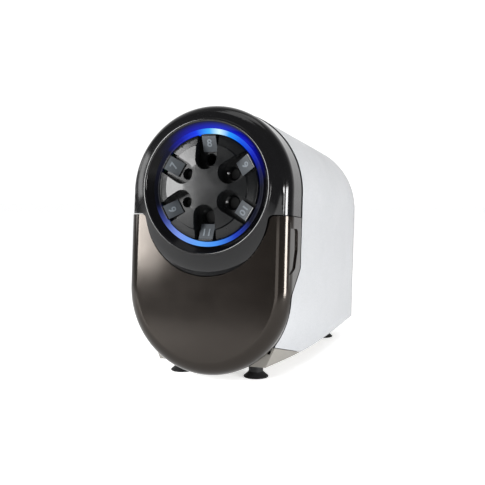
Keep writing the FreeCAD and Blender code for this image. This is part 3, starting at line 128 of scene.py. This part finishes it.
# ----------------------------------------------------------------- settings
class SharpenerColours(bpy.types.PropertyGroup):
    """Colours, as sRGB hex, of the finishes that a user would change."""

    bezel: bpy.props.StringProperty(
        name="Bezel", description="Gloss front around the dial", default="#050506")
    receptacle: bpy.props.StringProperty(
        name="Receptacle", description="Smoked shavings receptacle", default="#0e0b09")
    shell: bpy.props.StringProperty(
        name="Shell", description="Metallic paint of the housing", default="#9c9ea1")
    base: bpy.props.StringProperty(
        name="Base", description="Textured base under the housing", default="#77746e")
    cover: bpy.props.StringProperty(
        name="Rear cover", description="Textured rear cover", default="#3b3c3f")
    dial: bpy.props.StringProperty(
        name="Dial", description="Selector dial", default="#08090a")
    ramp: bpy.props.StringProperty(
        name="Ramps", description="Numbered ramps in the dial", default="#2d3237")
    glow: bpy.props.StringProperty(
        name="Glow", description="Lit ring where it is brightest", default="#d8fbff")


class SharpenerSizes(bpy.types.PropertyGroup):
    """Sizes of the small pieces that are added to the frame."""

    edge_mm: bpy.props.FloatProperty(
        name="Edge rounding", description="Rounding of moulded edges, in millimetres",
        default=0.5, min=0.1, max=2.0)
    figure_mm: bpy.props.FloatProperty(
        name="Figure height", description="Height of the dial's numbers, in millimetres",
        default=7.0, min=3.0, max=9.0)
    glow_strength: bpy.props.FloatProperty(
        name="Glow strength", description="Emission of the lit ring", default=1.0,
        min=0.0, max=50.0)


class StudioSettings(bpy.types.PropertyGroup):
    """Camera and lights."""

    lens_mm: bpy.props.FloatProperty(
        name="Lens", description="Focal length on a 36 mm sensor", default=52.72,
        min=20.0, max=200.0, unit="CAMERA")
    key_watts: bpy.props.FloatProperty(
        name="Key light", description="Power of the large soft light", default=26.0,
        min=0.0, max=500.0, unit="POWER")
    backdrop_level: bpy.props.FloatProperty(
        name="Backdrop", description="Brightness of the surroundings behind the object",
        default=1.15, min=0.0, max=5.0)
    table_level: bpy.props.FloatProperty(
        name="Light table", description="Glow of the floor", default=0.54, min=0.0,
        max=5.0)
    front_level: bpy.props.FloatProperty(
        name="Room", description="Brightness of the surroundings in front of it",
        default=0.3, min=0.0, max=5.0)


# ------------------------------------------------------------------- helpers
def linear(hex_colour):
    """Linear RGBA of an sRGB hex colour."""
    channels = []
    for i in (1, 3, 5):
        value = int(hex_colour[i:i + 2], 16) / 255.0
        if value <= 0.04045:
            channels.append(value / 12.92)
        else:
            channels.append(((value + 0.055) / 1.055) ** 2.4)
    return (channels[0], channels[1], channels[2], 1.0)


def live_socket(sockets, key):
    """The socket at a number, or the one in use that has this name."""
    if isinstance(key, int):
        return sockets[key]
    return next(socket for socket in sockets if socket.name == key and socket.enabled)


def add_node(tree, kind, settings=None, links=None, into=None):
    """Adds a node with its properties, its sockets' values and what feeds them,
    and leads its first output in use into a socket."""
    node = tree.nodes.new(kind)
    for key, value in (settings or {}).items():
        if isinstance(key, str) and key not in node.inputs:
            setattr(node, key, value)
        else:
            live_socket(node.inputs, key).default_value = value
    for key, source in (links or {}).items():
        tree.links.new(source, live_socket(node.inputs, key))
    if into is not None:
        tree.links.new(next(out for out in node.outputs if out.enabled), into)
    return node


def new_finish(name, settings):
    """A material with its shader's constant values, and its object coordinates."""
    finish = bpy.data.materials.get(name)
    if finish is None:
        finish = bpy.data.materials.new(name)
    finish.use_nodes = True
    tree = finish.node_tree
    tree.nodes.clear()
    shader = add_node(tree, "ShaderNodeBsdfPrincipled", settings)
    add_node(tree, "ShaderNodeOutputMaterial", None,
             {"Surface": shader.outputs["BSDF"]})
    place = add_node(tree, "ShaderNodeTexCoord")
    return finish, tree, shader, place.outputs["Object"]


def ramp_stops(node, stops):
    """Sets a colour ramp's stops to (position, linear colour) pairs."""
    ramp = node.color_ramp
    while len(ramp.elements) > 1:
        ramp.elements.remove(ramp.elements[-1])
    ramp.elements[0].position = stops[0][0]
    ramp.elements[0].color = stops[0][1]
    for position, colour in stops[1:]:
        ramp.elements.new(position).color = colour


def per_mm(size_mm):
    """Texture scale that gives a pattern of this size."""
    return 1.0 / (size_mm * MM)


def darker(colour, share):
    """A linear colour at a share of its brightness."""
    return tuple(channel * share for channel in colour[:3]) + (1.0,)


def wear_roughness(tree, shader, place, low, high, size_mm):
    """Handling marks: roughness that drifts between two values."""
    marks = add_node(tree, "ShaderNodeTexNoise",
                     {"Scale": per_mm(size_mm), "Detail": 5.0, "Roughness": 0.62},
                     {"Vector": place})
    add_node(tree, "ShaderNodeMapRange",
             {"From Min": 0.35, "From Max": 0.7, "To Min": low, "To Max": high},
             {"Value": marks.outputs["Fac"]}, shader.inputs["Roughness"])


# ----------------------------------------------------------------- finishes
def gloss_moulding(name, colours, shine, glow_strength):
    """Gloss ABS, injection moulded: near-black, mirror-like, with a faint
    orange-peel waviness and finger marks that soften the reflections."""
    finish, tree, shader, place = new_finish(
        name, {"Base Color": linear(colours.bezel), "IOR": 1.54,
               "Specular IOR Level": shine, "Emission Strength": glow_strength})
    wear_roughness(tree, shader, place, 0.1, 0.17, 38.0)
    peel = add_node(tree, "ShaderNodeTexNoise",
                    {"Scale": per_mm(4.5), "Detail": 1.0}, {"Vector": place})
    add_node(tree, "ShaderNodeBump", {"Strength": 0.3, "Distance": 0.012 * MM},
             {"Height": peel.outputs["Fac"]}, shader.inputs["Normal"])
    return finish, tree, shader, place


def gloss_abs(colours):
    """The bezel's gloss ABS: unlit."""
    return gloss_moulding("Gloss ABS, black", colours, 0.27, 0.0)[0]


def smoked_polycarbonate(colours):
    """Smoke-tinted polycarbonate over a dark lining: a deep warm brown gloss,
    faintly clouded, whose reflections take the tint."""
    finish, tree, shader, place = new_finish(
        "Smoked polycarbonate", {"IOR": 1.585, "Specular IOR Level": 0.27,
                                 "Specular Tint": linear("#fff3e8")})
    cloud = add_node(tree, "ShaderNodeTexNoise",
                     {"Scale": per_mm(90.0), "Detail": 2.0}, {"Vector": place})
    base = linear(colours.receptacle)
    add_node(tree, "ShaderNodeMix",
             {"data_type": "RGBA", "A": darker(base, 0.72), "B": base},
             {"Factor": cloud.outputs["Fac"]}, shader.inputs["Base Color"])
    wear_roughness(tree, shader, place, 0.11, 0.17, 45.0)
    peel = add_node(tree, "ShaderNodeTexNoise",
                    {"Scale": per_mm(6.0), "Detail": 1.0}, {"Vector": place})
    add_node(tree, "ShaderNodeBump", {"Strength": 0.25, "Distance": 0.012 * MM},
             {"Height": peel.outputs["Fac"]}, shader.inputs["Normal"])
    return finish


def flake_paint(colours):
    """Silver metallic-flake paint sprayed on ABS: satin, with a soft clear coat.
    Its flakes are 0.55 mm across, coarser than real ones, so that they show."""
    finish, tree, shader, place = new_finish(
        "Silver flake paint", {"Metallic": 0.3, "Coat Weight": 0.15,
                               "Coat Roughness": 0.25})
    flakes = add_node(tree, "ShaderNodeTexVoronoi", {"Scale": per_mm(0.55)},
                      {"Vector": place})
    glint = add_node(tree, "ShaderNodeMapRange",
                     {"From Min": 0.0, "From Max": 1.0, "To Min": 0.0, "To Max": 0.16},
                     {"Value": flakes.outputs["Color"]})
    add_node(tree, "ShaderNodeMix",
             {"data_type": "RGBA", "A": linear(colours.shell), "B": linear("#f4f5f7")},
             {"Factor": glint.outputs["Result"]}, shader.inputs["Base Color"])
    wear_roughness(tree, shader, place, 0.36, 0.44, 60.0)
    add_node(tree, "ShaderNodeBump", {"Strength": 0.12, "Distance": 0.01 * MM},
             {"Height": flakes.outputs["Distance"]}, shader.inputs["Normal"])
    return finish


def textured_abs(name, hex_colour, rough, grain_mm, shine=0.4, bite=0.5):
    """Spark-textured plastic: matt, with a fine even grain that breaks highlights.
    The bite is how strongly the grain shows."""
    finish, tree, shader, place = new_finish(
        name, {"IOR": 1.54, "Specular IOR Level": shine})
    grain = add_node(tree, "ShaderNodeTexNoise",
                     {"Scale": per_mm(grain_mm), "Detail": 3.0}, {"Vector": place})
    base = linear(hex_colour)
    add_node(tree, "ShaderNodeMix",
             {"data_type": "RGBA", "A": darker(base, 0.86), "B": base},
             {"Factor": grain.outputs["Fac"]}, shader.inputs["Base Color"])
    wear_roughness(tree, shader, place, rough - 0.05, rough + 0.07, 30.0)
    add_node(tree, "ShaderNodeBump", {"Strength": bite, "Distance": 0.04 * MM},
             {"Height": grain.outputs["Fac"]}, shader.inputs["Normal"])
    return finish


def around_dial(tree, place):
    """0 to 1 anticlockwise round the dial from nine o'clock, through six."""
    moved = add_node(tree, "ShaderNodeVectorMath",
                     {"operation": "SUBTRACT", 1: tuple(DIAL_CENTRE)}, {0: place})
    turned = add_node(tree, "ShaderNodeMapping",
                      {"Rotation": (-(math.pi / 2 - LEAN), 0.0, 0.0)},
                      {"Vector": moved.outputs["Vector"]})
    around = add_node(tree, "ShaderNodeTexGradient", {"gradient_type": "RADIAL"},
                      {"Vector": turned.outputs["Vector"]})
    return around.outputs["Fac"]


def lit_acrylic(colours, sizes):
    """Frosted acrylic ring lit from behind by blue lamps: almost white over the
    nearest lamp, deep blue between lamps, dark at the far side."""
    finish, tree, shader, place = new_finish(
        "Frosted acrylic, lit", {"Base Color": linear("#020308"), "IOR": 1.49,
                                 "Roughness": 0.35, "Specular IOR Level": 0.08,
                                 "Emission Strength": sizes.glow_strength})
    ramp = add_node(tree, "ShaderNodeValToRGB", None,
                    {"Fac": around_dial(tree, place)}, shader.inputs["Emission Color"])
    ramp_stops(ramp, [
        (0.00, linear("#000003")),
        (0.05, linear("#02020c")),
        (0.10, linear("#3a4690")),
        (0.16, linear("#7a96ea")),
        (0.23, linear("#5ea6fb")),
        (0.28, linear("#4492f4")),
        (0.34, linear("#1238b8")),
        (0.40, linear("#02041e")),
        (0.50, linear("#01020f")),
        (0.55, linear("#010850")),
        (0.60, linear("#0120c0")),
        (0.65, linear("#0258ec")),
        (0.69, linear("#1a9cff")),
        (0.72, linear(colours.glow)),
        (0.75, linear("#38b0ff")),
        (0.79, linear("#0838f0")),
        (0.84, linear("#040e98")),
        (0.89, linear("#010120")),
        (1.00, linear("#000003")),
    ])
    return finish


def painted_glow_funnel(colours, sizes):
    """The same gloss ABS inside the rim, with painted glow: emission stands in for the ring's light on it,
    deep blue next to the ring, black at the crest."""
    finish, tree, shader, place = gloss_moulding(
        "Gloss ABS, painted ring glow", colours, 0.08,
        sizes.glow_strength * PAINTED_GLOW_SHARE)
    ramp = add_node(tree, "ShaderNodeValToRGB", None,
                    {"Fac": around_dial(tree, place)})
    ramp_stops(ramp, [
        (0.00, linear("#000000")),
        (0.52, linear("#000004")),
        (0.58, linear("#0004a0")),
        (0.64, linear("#0010ff")),
        (0.72, linear("#0830ff")),
        (0.80, linear("#0008e0")),
        (0.87, linear("#000240")),
        (0.92, linear("#000000")),
    ])
    # Painted glow: the emission fades with distance from the dial's axis, as if the ring's light fell on the
    # funnel.
    moved = add_node(tree, "ShaderNodeVectorMath",
                     {"operation": "SUBTRACT", 1: tuple(DIAL_CENTRE)}, {0: place})
    reach = add_node(tree, "ShaderNodeVectorMath", {"operation": "LENGTH"},
                     {0: moved.outputs["Vector"]})
    fade = add_node(tree, "ShaderNodeMapRange",
                    {"From Min": PAINTED_GLOW_REACHES[0] * MM, "From Max": PAINTED_GLOW_REACHES[1] * MM,
                     "To Min": 1.0, "To Max": 0.0, "interpolation_type": "SMOOTHSTEP"},
                    {"Value": reach.outputs["Value"]})
    add_node(tree, "ShaderNodeMix", {"data_type": "RGBA", "A": linear("#000000")},
             {"Factor": fade.outputs["Result"], "B": ramp.outputs["Color"]},
             shader.inputs["Emission Color"])
    return finish


def moulded_rubber(name, hex_colour):
    """Moulded nitrile rubber: dull black with a dusty bloom."""
    finish, tree, shader, place = new_finish(
        name, {"IOR": 1.52, "Specular IOR Level": 0.25})
    bloom = add_node(tree, "ShaderNodeTexNoise",
                     {"Scale": per_mm(2.5), "Detail": 6.0}, {"Vector": place})
    add_node(tree, "ShaderNodeMix",
             {"data_type": "RGBA", "A": linear(hex_colour), "B": linear("#151516")},
             {"Factor": bloom.outputs["Fac"]}, shader.inputs["Base Color"])
    wear_roughness(tree, shader, place, 0.5, 0.7, 4.0)
    add_node(tree, "ShaderNodeBump", {"Strength": 0.4, "Distance": 0.03 * MM},
             {"Height": bloom.outputs["Fac"]}, shader.inputs["Normal"])
    return finish


def plated_metal(name, hex_colour, rough, grain_mm):
    """Plated, ground or cast metal: bright, with fine drawn or cast grain."""
    finish, tree, shader, place = new_finish(name, {"Metallic": 1.0})
    stretch = add_node(tree, "ShaderNodeMapping", {"Scale": (1.0, 0.12, 1.0)},
                       {"Vector": place})
    grain = add_node(tree, "ShaderNodeTexNoise",
                     {"Scale": per_mm(grain_mm), "Detail": 4.0},
                     {"Vector": stretch.outputs["Vector"]})
    base = linear(hex_colour)
    add_node(tree, "ShaderNodeMix",
             {"data_type": "RGBA", "A": darker(base, 0.8), "B": base},
             {"Factor": grain.outputs["Fac"]}, shader.inputs["Base Color"])
    wear_roughness(tree, shader, place, rough - 0.06, rough + 0.08, 6.0)
    add_node(tree, "ShaderNodeBump", {"Strength": 0.3, "Distance": 0.01 * MM},
             {"Height": grain.outputs["Fac"]}, shader.inputs["Normal"])
    return finish


# -------------------------------------------------------------- piece helpers
def deselect():
    """Leaves edit mode and deselects everything."""
    if bpy.context.object is not None and bpy.context.object.mode != "OBJECT":
        bpy.ops.object.mode_set(mode="OBJECT")
    bpy.ops.object.select_all(action="DESELECT")


def pick(piece):
    """Selects one piece alone and makes it active."""
    deselect()
    piece.select_set(True)
    bpy.context.view_layer.objects.active = piece


def paint(piece, finish):
    """Gives the whole piece one finish, in its own slots."""
    if not piece.data.materials:
        piece.data.materials.append(finish)
    for i in range(len(piece.data.materials)):
        piece.data.materials[i] = finish


def apply_all(piece):
    """Applies every modifier of a piece."""
    pick(piece)
    for modifier in list(piece.modifiers):
        bpy.ops.object.modifier_apply(modifier=modifier.name)


def finished_from(node, name, edge_mm):
    """A copy of a CAD node with welded faces and rounded edges."""
    source = frame["nodes"][node]
    piece = bpy.data.objects.new(name, source.data.copy())
    bpy.context.scene.collection.objects.link(piece)
    pick(piece)
    bpy.ops.object.mode_set(mode="EDIT")
    bpy.ops.mesh.select_all(action="SELECT")
    bpy.ops.mesh.remove_doubles(threshold=WELD_MM * MM)
    bpy.ops.mesh.dissolve_limited(angle_limit=math.radians(FLAT_DEG))
    bpy.ops.object.mode_set(mode="OBJECT")
    bevel = piece.modifiers.new("Edge", "BEVEL")
    bevel.width = edge_mm * MM
    bevel.segments = EDGE_STEPS
    bevel.limit_method = "ANGLE"
    bevel.angle_limit = math.radians(BEVEL_DEG)
    bevel.use_clamp_overlap = True
    apply_all(piece)
    pick(piece)
    bpy.ops.object.shade_smooth_by_angle(angle=math.radians(SHARP_DEG))
    flow = piece.modifiers.new("Flow", "WEIGHTED_NORMAL")
    flow.keep_sharp = True
    flow.weight = 60
    apply_all(piece)
    return piece


def in_body(point):
    """Millimetres right, rearward and up from the dial's centre on the face."""
    away = point - DIAL_CENTRE
    return (away.dot(SIDEWAYS) / MM, away.dot(REARWARD) / MM, away.dot(UPWARD) / MM)


def paint_where(piece, finish, test):
    """Gives a second finish to the faces whose place and facing pass the test."""
    piece.data.materials.append(finish)
    slot = len(piece.data.materials) - 1
    for face in piece.data.polygons:
        normal = face.normal
        facing = (normal.dot(SIDEWAYS), normal.dot(REARWARD), normal.dot(UPWARD))
        if test(in_body(face.center), facing):
            face.material_index = slot


def one_slot(piece):
    """Clears a piece's material slots, so that paint() gives it a single one."""
    piece.data.materials.clear()
    for face in piece.data.polygons:
        face.material_index = 0


def spun_ring(name, reach, depth, half_width, half_depth):
    """An oval section spun round the dial's axis; sizes in millimetres."""
    deselect()
    bpy.ops.mesh.primitive_circle_add(
        vertices=BEAD_STEPS, radius=MM, fill_type="NOTHING",
        location=on_face(reach, depth, 0.0), rotation=(-LEAN, 0.0, 0.0))
    ring = bpy.context.object
    ring.name = name
    bpy.ops.object.transform_apply(location=True, rotation=True, scale=True)
    bpy.ops.object.mode_set(mode="EDIT")
    bpy.ops.mesh.select_all(action="SELECT")
    bpy.ops.transform.resize(value=(half_width, half_depth, half_depth),
                             center_override=on_face(reach, depth, 0.0))
    bpy.ops.mesh.spin(steps=RING_STEPS, angle=2 * math.pi, center=DIAL_CENTRE,
                      axis=REARWARD)
    bpy.ops.mesh.select_all(action="SELECT")
    bpy.ops.mesh.remove_doubles(threshold=2 * WELD_MM * MM)
    bpy.ops.mesh.normals_make_consistent(inside=False)
    bpy.ops.object.mode_set(mode="OBJECT")
    bpy.ops.object.shade_smooth()
    return ring


def hand_over(piece, body, slot, *nodes):
    """Puts a piece on its body, in place of the CAD nodes; the slot is not used."""
    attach(piece, body)
    if nodes:
        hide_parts(*nodes)


# ------------------------------------------------------------------ operators
class SHARPENER_OT_studio(bpy.types.Operator):
    """Adds the floor, the soft lights and the camera"""

    bl_idname = "sharpener.studio"
    bl_label = "Studio"

    def execute(self, context):
        studio = context.scene.sharpener_studio
        deselect()
        bpy.ops.mesh.primitive_plane_add(size=FLOOR_SIZE, location=(0.0, 0.0, 0.0))
        floor = context.object
        floor.name = "studio_floor"
        finish, tree, shader, place = new_finish(
            "Studio light table", {"Base Color": linear("#f7f7f7"), "Roughness": 0.85,
                                   "Emission Color": linear("#ffffff"),
                                   "Emission Strength": studio.table_level})
        fibre = add_node(tree, "ShaderNodeTexNoise",
                         {"Scale": per_mm(1.5), "Detail": 3.0}, {"Vector": place})
        add_node(tree, "ShaderNodeBump", {"Strength": 0.1, "Distance": 0.02 * MM},
                 {"Height": fibre.outputs["Fac"]}, shader.inputs["Normal"])
        paint(floor, finish)
        world = bpy.data.worlds.new("Studio surroundings")
        context.scene.world = world
        context.scene.view_settings.view_transform = "Standard"
        world.use_nodes = True
        sky = world.node_tree
        sky.nodes.clear()
        place = add_node(sky, "ShaderNodeTexCoord")
        behind = add_node(sky, "ShaderNodeVectorMath",
                          {"operation": "DOT_PRODUCT", 1: BACKDROP_WAY},
                          {0: place.outputs["Generated"]})
        share = add_node(sky, "ShaderNodeMapRange",
                         {"From Min": BACKDROP_STARTS, "From Max": BACKDROP_FULL,
                          "To Min": studio.front_level, "To Max": studio.backdrop_level,
                          "interpolation_type": "SMOOTHSTEP"},
                         {"Value": behind.outputs["Value"]})
        glow = add_node(sky, "ShaderNodeBackground", {"Color": linear("#ffffff")},
                        {"Strength": share.outputs["Result"]})
        add_node(sky, "ShaderNodeOutputWorld", None,
                 {"Surface": glow.outputs["Background"]})
        for name, spot, width, height, share in LIGHTS:
            lamp = bpy.data.lights.new(name, "AREA")
            lamp.shape = "RECTANGLE"
            lamp.size = width
            lamp.size_y = height
            lamp.energy = studio.key_watts * share
            holder = bpy.data.objects.new(name, lamp)
            holder.location = spot
            towards = AIM - Vector(spot)
            holder.rotation_euler = towards.to_track_quat("-Z", "Y").to_euler()
            context.scene.collection.objects.link(holder)
        view = bpy.data.cameras.new("camera")
        view.lens = studio.lens_mm
        view.sensor_width = SENSOR_MM
        view.clip_start = 0.01
        holder = bpy.data.objects.new("camera", view)
        holder.location = CAMERA_PLACE
        holder.rotation_euler = [math.radians(turn) for turn in CAMERA_TURN_DEG]
        context.scene.collection.objects.link(holder)
        context.scene.camera = holder
        return {"FINISHED"}


class SHARPENER_OT_front_bezel(bpy.types.Operator):
    """Makes the gloss front with its raised rim"""

    bl_idname = "sharpener.front_bezel"
    bl_label = "Front bezel"

    def execute(self, context):
        sizes = context.scene.sharpener_sizes
        colours = context.scene.sharpener_colours
        bezel = finished_from("front_bezel", "bezel_moulding", sizes.edge_mm)
        one_slot(bezel)
        gloss = gloss_abs(colours)
        paint(bezel, gloss)

        # Painted glow: the funnel faces inside the rim get emission in place of the ring's light falling on them.
        def under_painted_glow(place, facing):
            reach = math.hypot(place[0], place[2])
            inward = facing[0] * place[0] + facing[2] * place[2] < -0.2 * reach
            beside = FUNNEL_REACHES[0] < reach < FUNNEL_REACHES[1]
            return inward and beside and FUNNEL_DEPTHS[0] < place[1] < FUNNEL_DEPTHS[1]

        paint_where(bezel, painted_glow_funnel(colours, sizes), under_painted_glow)
        bead = spun_ring("rim_bead", RIM_RADIUS, RIM_CREST + BEAD_SINK,
                         BEAD_HALF_WIDTH, BEAD_HALF_DEPTH)
        paint(bead, gloss)
        hand_over(bead, "root", "gloss_black")
        hand_over(bezel, "root", "gloss_black", "front_bezel")
        return {"FINISHED"}


class SHARPENER_OT_light_ring(bpy.types.Operator):
    """Makes the lit ring around the dial"""

    bl_idname = "sharpener.light_ring"
    bl_label = "Light ring"

    def execute(self, context):
        finish = lit_acrylic(context.scene.sharpener_colours,
                             context.scene.sharpener_sizes)
        ring = finished_from("light_ring", "light_guide", 0.25)
        paint(ring, finish)
        hand_over(ring, "root", "light_guide", "light_ring")
        return {"FINISHED"}


class SHARPENER_OT_selector_dial(bpy.types.Operator):
    """Makes the dial, its numbered ramps and its figures"""

    bl_idname = "sharpener.selector_dial"
    bl_label = "Selector dial"

    def execute(self, context):
        colours = context.scene.sharpener_colours
        sizes = context.scene.sharpener_sizes
        dial = finished_from("selector_dial", "dial_moulding", 0.35)
        one_slot(dial)
        paint(dial, textured_abs("Semi-gloss ABS, charcoal", colours.dial, 0.21, 1.2,
                                 0.2, 0.05))
        pads = textured_abs("Matt ABS, grey", colours.ramp, 0.55, 0.5)

        def on_ramp(place, facing):
            reach = math.hypot(place[0], place[2])
            inward = (facing[0] * place[0] + facing[2] * place[2]) / max(reach, 1e-6)
            return reach > RAMP_INNER and inward < -0.3 and facing[1] < -0.85

        paint_where(dial, pads, on_ramp)
        hand_over(dial, "dial", "dial_black", "selector_dial")
        figures_finish = textured_abs("Matt ABS, raised figures", "#5f666c", 0.5, 0.5)
        for i in range(POCKET_COUNT):
            turn = 2 * math.pi * i / POCKET_COUNT
            outward = SIDEWAYS * math.sin(turn) + UPWARD * math.cos(turn)
            along = SIDEWAYS * math.cos(turn) - UPWARD * math.sin(turn)
            climb = outward * math.cos(RAMP_SLOPE) - REARWARD * math.sin(RAMP_SLOPE)
            rise = -outward * math.sin(RAMP_SLOPE) - REARWARD * math.cos(RAMP_SLOPE)
            spot = DIAL_CENTRE + (outward * FIGURE_REACH + REARWARD * FIGURE_DEPTH) * MM
            deselect()
            bpy.ops.object.text_add(location=(0.0, 0.0, 0.0))
            figure = context.object
            figure.data.body = str(SMALLEST_PENCIL + (i + TOP_POCKET) % POCKET_COUNT)
            figure.data.size = sizes.figure_mm * MM * TYPE_PER_FIGURE
            figure.data.offset = FIGURE_WEIGHT * MM
            figure.data.extrude = FIGURE_RAISE * MM
            figure.data.bevel_depth = FIGURE_EDGE * MM
            figure.data.align_x = "CENTER"
            figure.data.align_y = "CENTER"
            bpy.ops.object.convert(target="MESH")
            figure = context.object
            figure.name = "figure_" + str(i + 1)
            place = Matrix((along, climb, rise)).transposed().to_4x4()
            place.translation = spot
            figure.data.transform(place)
            figure.matrix_world = Matrix.Identity(4)
            paint(figure, figures_finish)
            hand_over(figure, "dial", "dial_black")
        return {"FINISHED"}


class SHARPENER_OT_receptacle(bpy.types.Operator):
    """Makes the smoked front of the receptacle"""

    bl_idname = "sharpener.receptacle"
    bl_label = "Receptacle"

    def execute(self, context):
        colours = context.scene.sharpener_colours
        sizes = context.scene.sharpener_sizes
        front = finished_from("receptacle_front", "receptacle_moulding", sizes.edge_mm)
        paint(front, smoked_polycarbonate(colours))
        hand_over(front, "receptacle", "smoke", "receptacle_front")
        return {"FINISHED"}


class SHARPENER_OT_housing(bpy.types.Operator):
    """Makes the silver shell, the base, the rear cover and the feet"""

    bl_idname = "sharpener.housing"
    bl_label = "Housing"

    def execute(self, context):
        colours = context.scene.sharpener_colours
        sizes = context.scene.sharpener_sizes
        shell = finished_from("body_shell", "shell_moulding", sizes.edge_mm)
        one_slot(shell)
        paint(shell, flake_paint(colours))
        # Bare dark ABS inside the shell, which is also painted shade: it darkens the gap round the receptacle.
        gap_shade_and_bare_abs = textured_abs("Bare ABS and painted gap shade, shell", "#16171a", 0.55, 0.5)

        # Inner faces and the lip faces that look forward into the gap get the painted shade.
        def inside(place, facing):
            from_axis = place[2] - ARCH_Z
            if from_axis > 0:
                reach = math.hypot(place[0], from_axis)
                outward = facing[0] * place[0] + facing[2] * from_axis > 0.2 * reach
            else:
                reach = abs(place[0])
                outward = facing[0] * place[0] > 0.2 * reach
            return not outward and (reach < HALF_WIDTH - 0.4 or facing[1] < -0.5)

        paint_where(shell, gap_shade_and_bare_abs, inside)
        hand_over(shell, "root", "silver", "body_shell")
        base = finished_from("base_plate", "base_moulding", sizes.edge_mm)
        paint(base, textured_abs("Textured ABS, warm grey", colours.base, 0.5, 0.5))
        hand_over(base, "root", "base_grey", "base_plate")
        cover = finished_from("rear_cover", "cover_moulding", sizes.edge_mm)
        paint(cover, textured_abs("Textured ABS, dark grey", colours.cover, 0.5, 0.5))
        hand_over(cover, "root", "cover_grey", "rear_cover")
        rubber = moulded_rubber("Nitrile rubber, black", "#0b0b0c")
        for corner in ("front_right", "front_left", "rear_right", "rear_left"):
            foot = finished_from("foot_" + corner, "foot_pad_" + corner, 0.3)
            paint(foot, rubber)
            hand_over(foot, "root", "feet", "foot_" + corner)
        return {"FINISHED"}


class SHARPENER_OT_inner_works(bpy.types.Operator):
    """Finishes everything inside the housing"""

    bl_idname = "sharpener.inner_works"
    bl_label = "Inner works"

    def execute(self, context):
        by_slot = {
            "inner_black": textured_abs("Textured ABS, black", "#101011", 0.55, 0.4),
            "steel": plated_metal("Zinc-plated steel", "#b4b7ba", 0.3, 0.5),
            "cutter_steel": plated_metal("Ground tool steel", "#7d8085", 0.22, 0.3),
            "carrier_alloy": plated_metal("Die-cast alloy", "#a9abad", 0.42, 1.0),
            "bronze": plated_metal("Sintered bronze", "#a9773a", 0.4, 0.3),
            "gear_plastic": textured_abs("Natural acetal", "#ded9cb", 0.38, 0.8),
            "board": textured_abs("Glass-epoxy board", "#0d4a26", 0.35, 0.6),
            "winding": plated_metal("Enamelled copper", "#8a3f1c", 0.3, 0.6),
            "light_guide": bpy.data.materials["Frosted acrylic, lit"],
        }
        for entry in frame["record"]["subparts"]:
            node = frame["nodes"][entry["node"]]
            finish = by_slot.get(entry["material_slot"])
            if finish is not None:
                paint(node, finish)
        return {"FINISHED"}


class SHARPENER_PT_panel(bpy.types.Panel):
    """Lists the settings and the pieces"""

    bl_idname = "SHARPENER_PT_panel"
    bl_label = "Pencil sharpener"
    bl_space_type = "VIEW_3D"
    bl_region_type = "UI"
    bl_category = "Sharpener"

    def draw(self, context):
        scene = context.scene
        for group in (scene.sharpener_colours, scene.sharpener_sizes,
                      scene.sharpener_studio):
            for name in group.__annotations__:
                self.layout.prop(group, name)
        for operator in OPERATORS:
            self.layout.operator(operator.bl_idname)


OPERATORS = (
    SHARPENER_OT_studio,
    SHARPENER_OT_housing,
    SHARPENER_OT_front_bezel,
    SHARPENER_OT_light_ring,
    SHARPENER_OT_selector_dial,
    SHARPENER_OT_receptacle,
    SHARPENER_OT_inner_works,
)
GROUPS = (SharpenerColours, SharpenerSizes, StudioSettings)


def register():
    for group in GROUPS:
        bpy.utils.register_class(group)
    for operator in OPERATORS:
        bpy.utils.register_class(operator)
    bpy.utils.register_class(SHARPENER_PT_panel)
    bpy.types.Scene.sharpener_colours = bpy.props.PointerProperty(type=SharpenerColours)
    bpy.types.Scene.sharpener_sizes = bpy.props.PointerProperty(type=SharpenerSizes)
    bpy.types.Scene.sharpener_studio = bpy.props.PointerProperty(type=StudioSettings)


def unregister():
    del bpy.types.Scene.sharpener_studio
    del bpy.types.Scene.sharpener_sizes
    del bpy.types.Scene.sharpener_colours
    bpy.utils.unregister_class(SHARPENER_PT_panel)
    for operator in reversed(OPERATORS):
        bpy.utils.unregister_class(operator)
    for group in reversed(GROUPS):
        bpy.utils.unregister_class(group)


def main():
    register()
    bpy.ops.sharpener.studio()
    bpy.ops.sharpener.housing()
    bpy.ops.sharpener.front_bezel()
    bpy.ops.sharpener.light_ring()
    bpy.ops.sharpener.selector_dial()
    bpy.ops.sharpener.receptacle()
    bpy.ops.sharpener.inner_works()


if __name__ == "__main__":
    main()
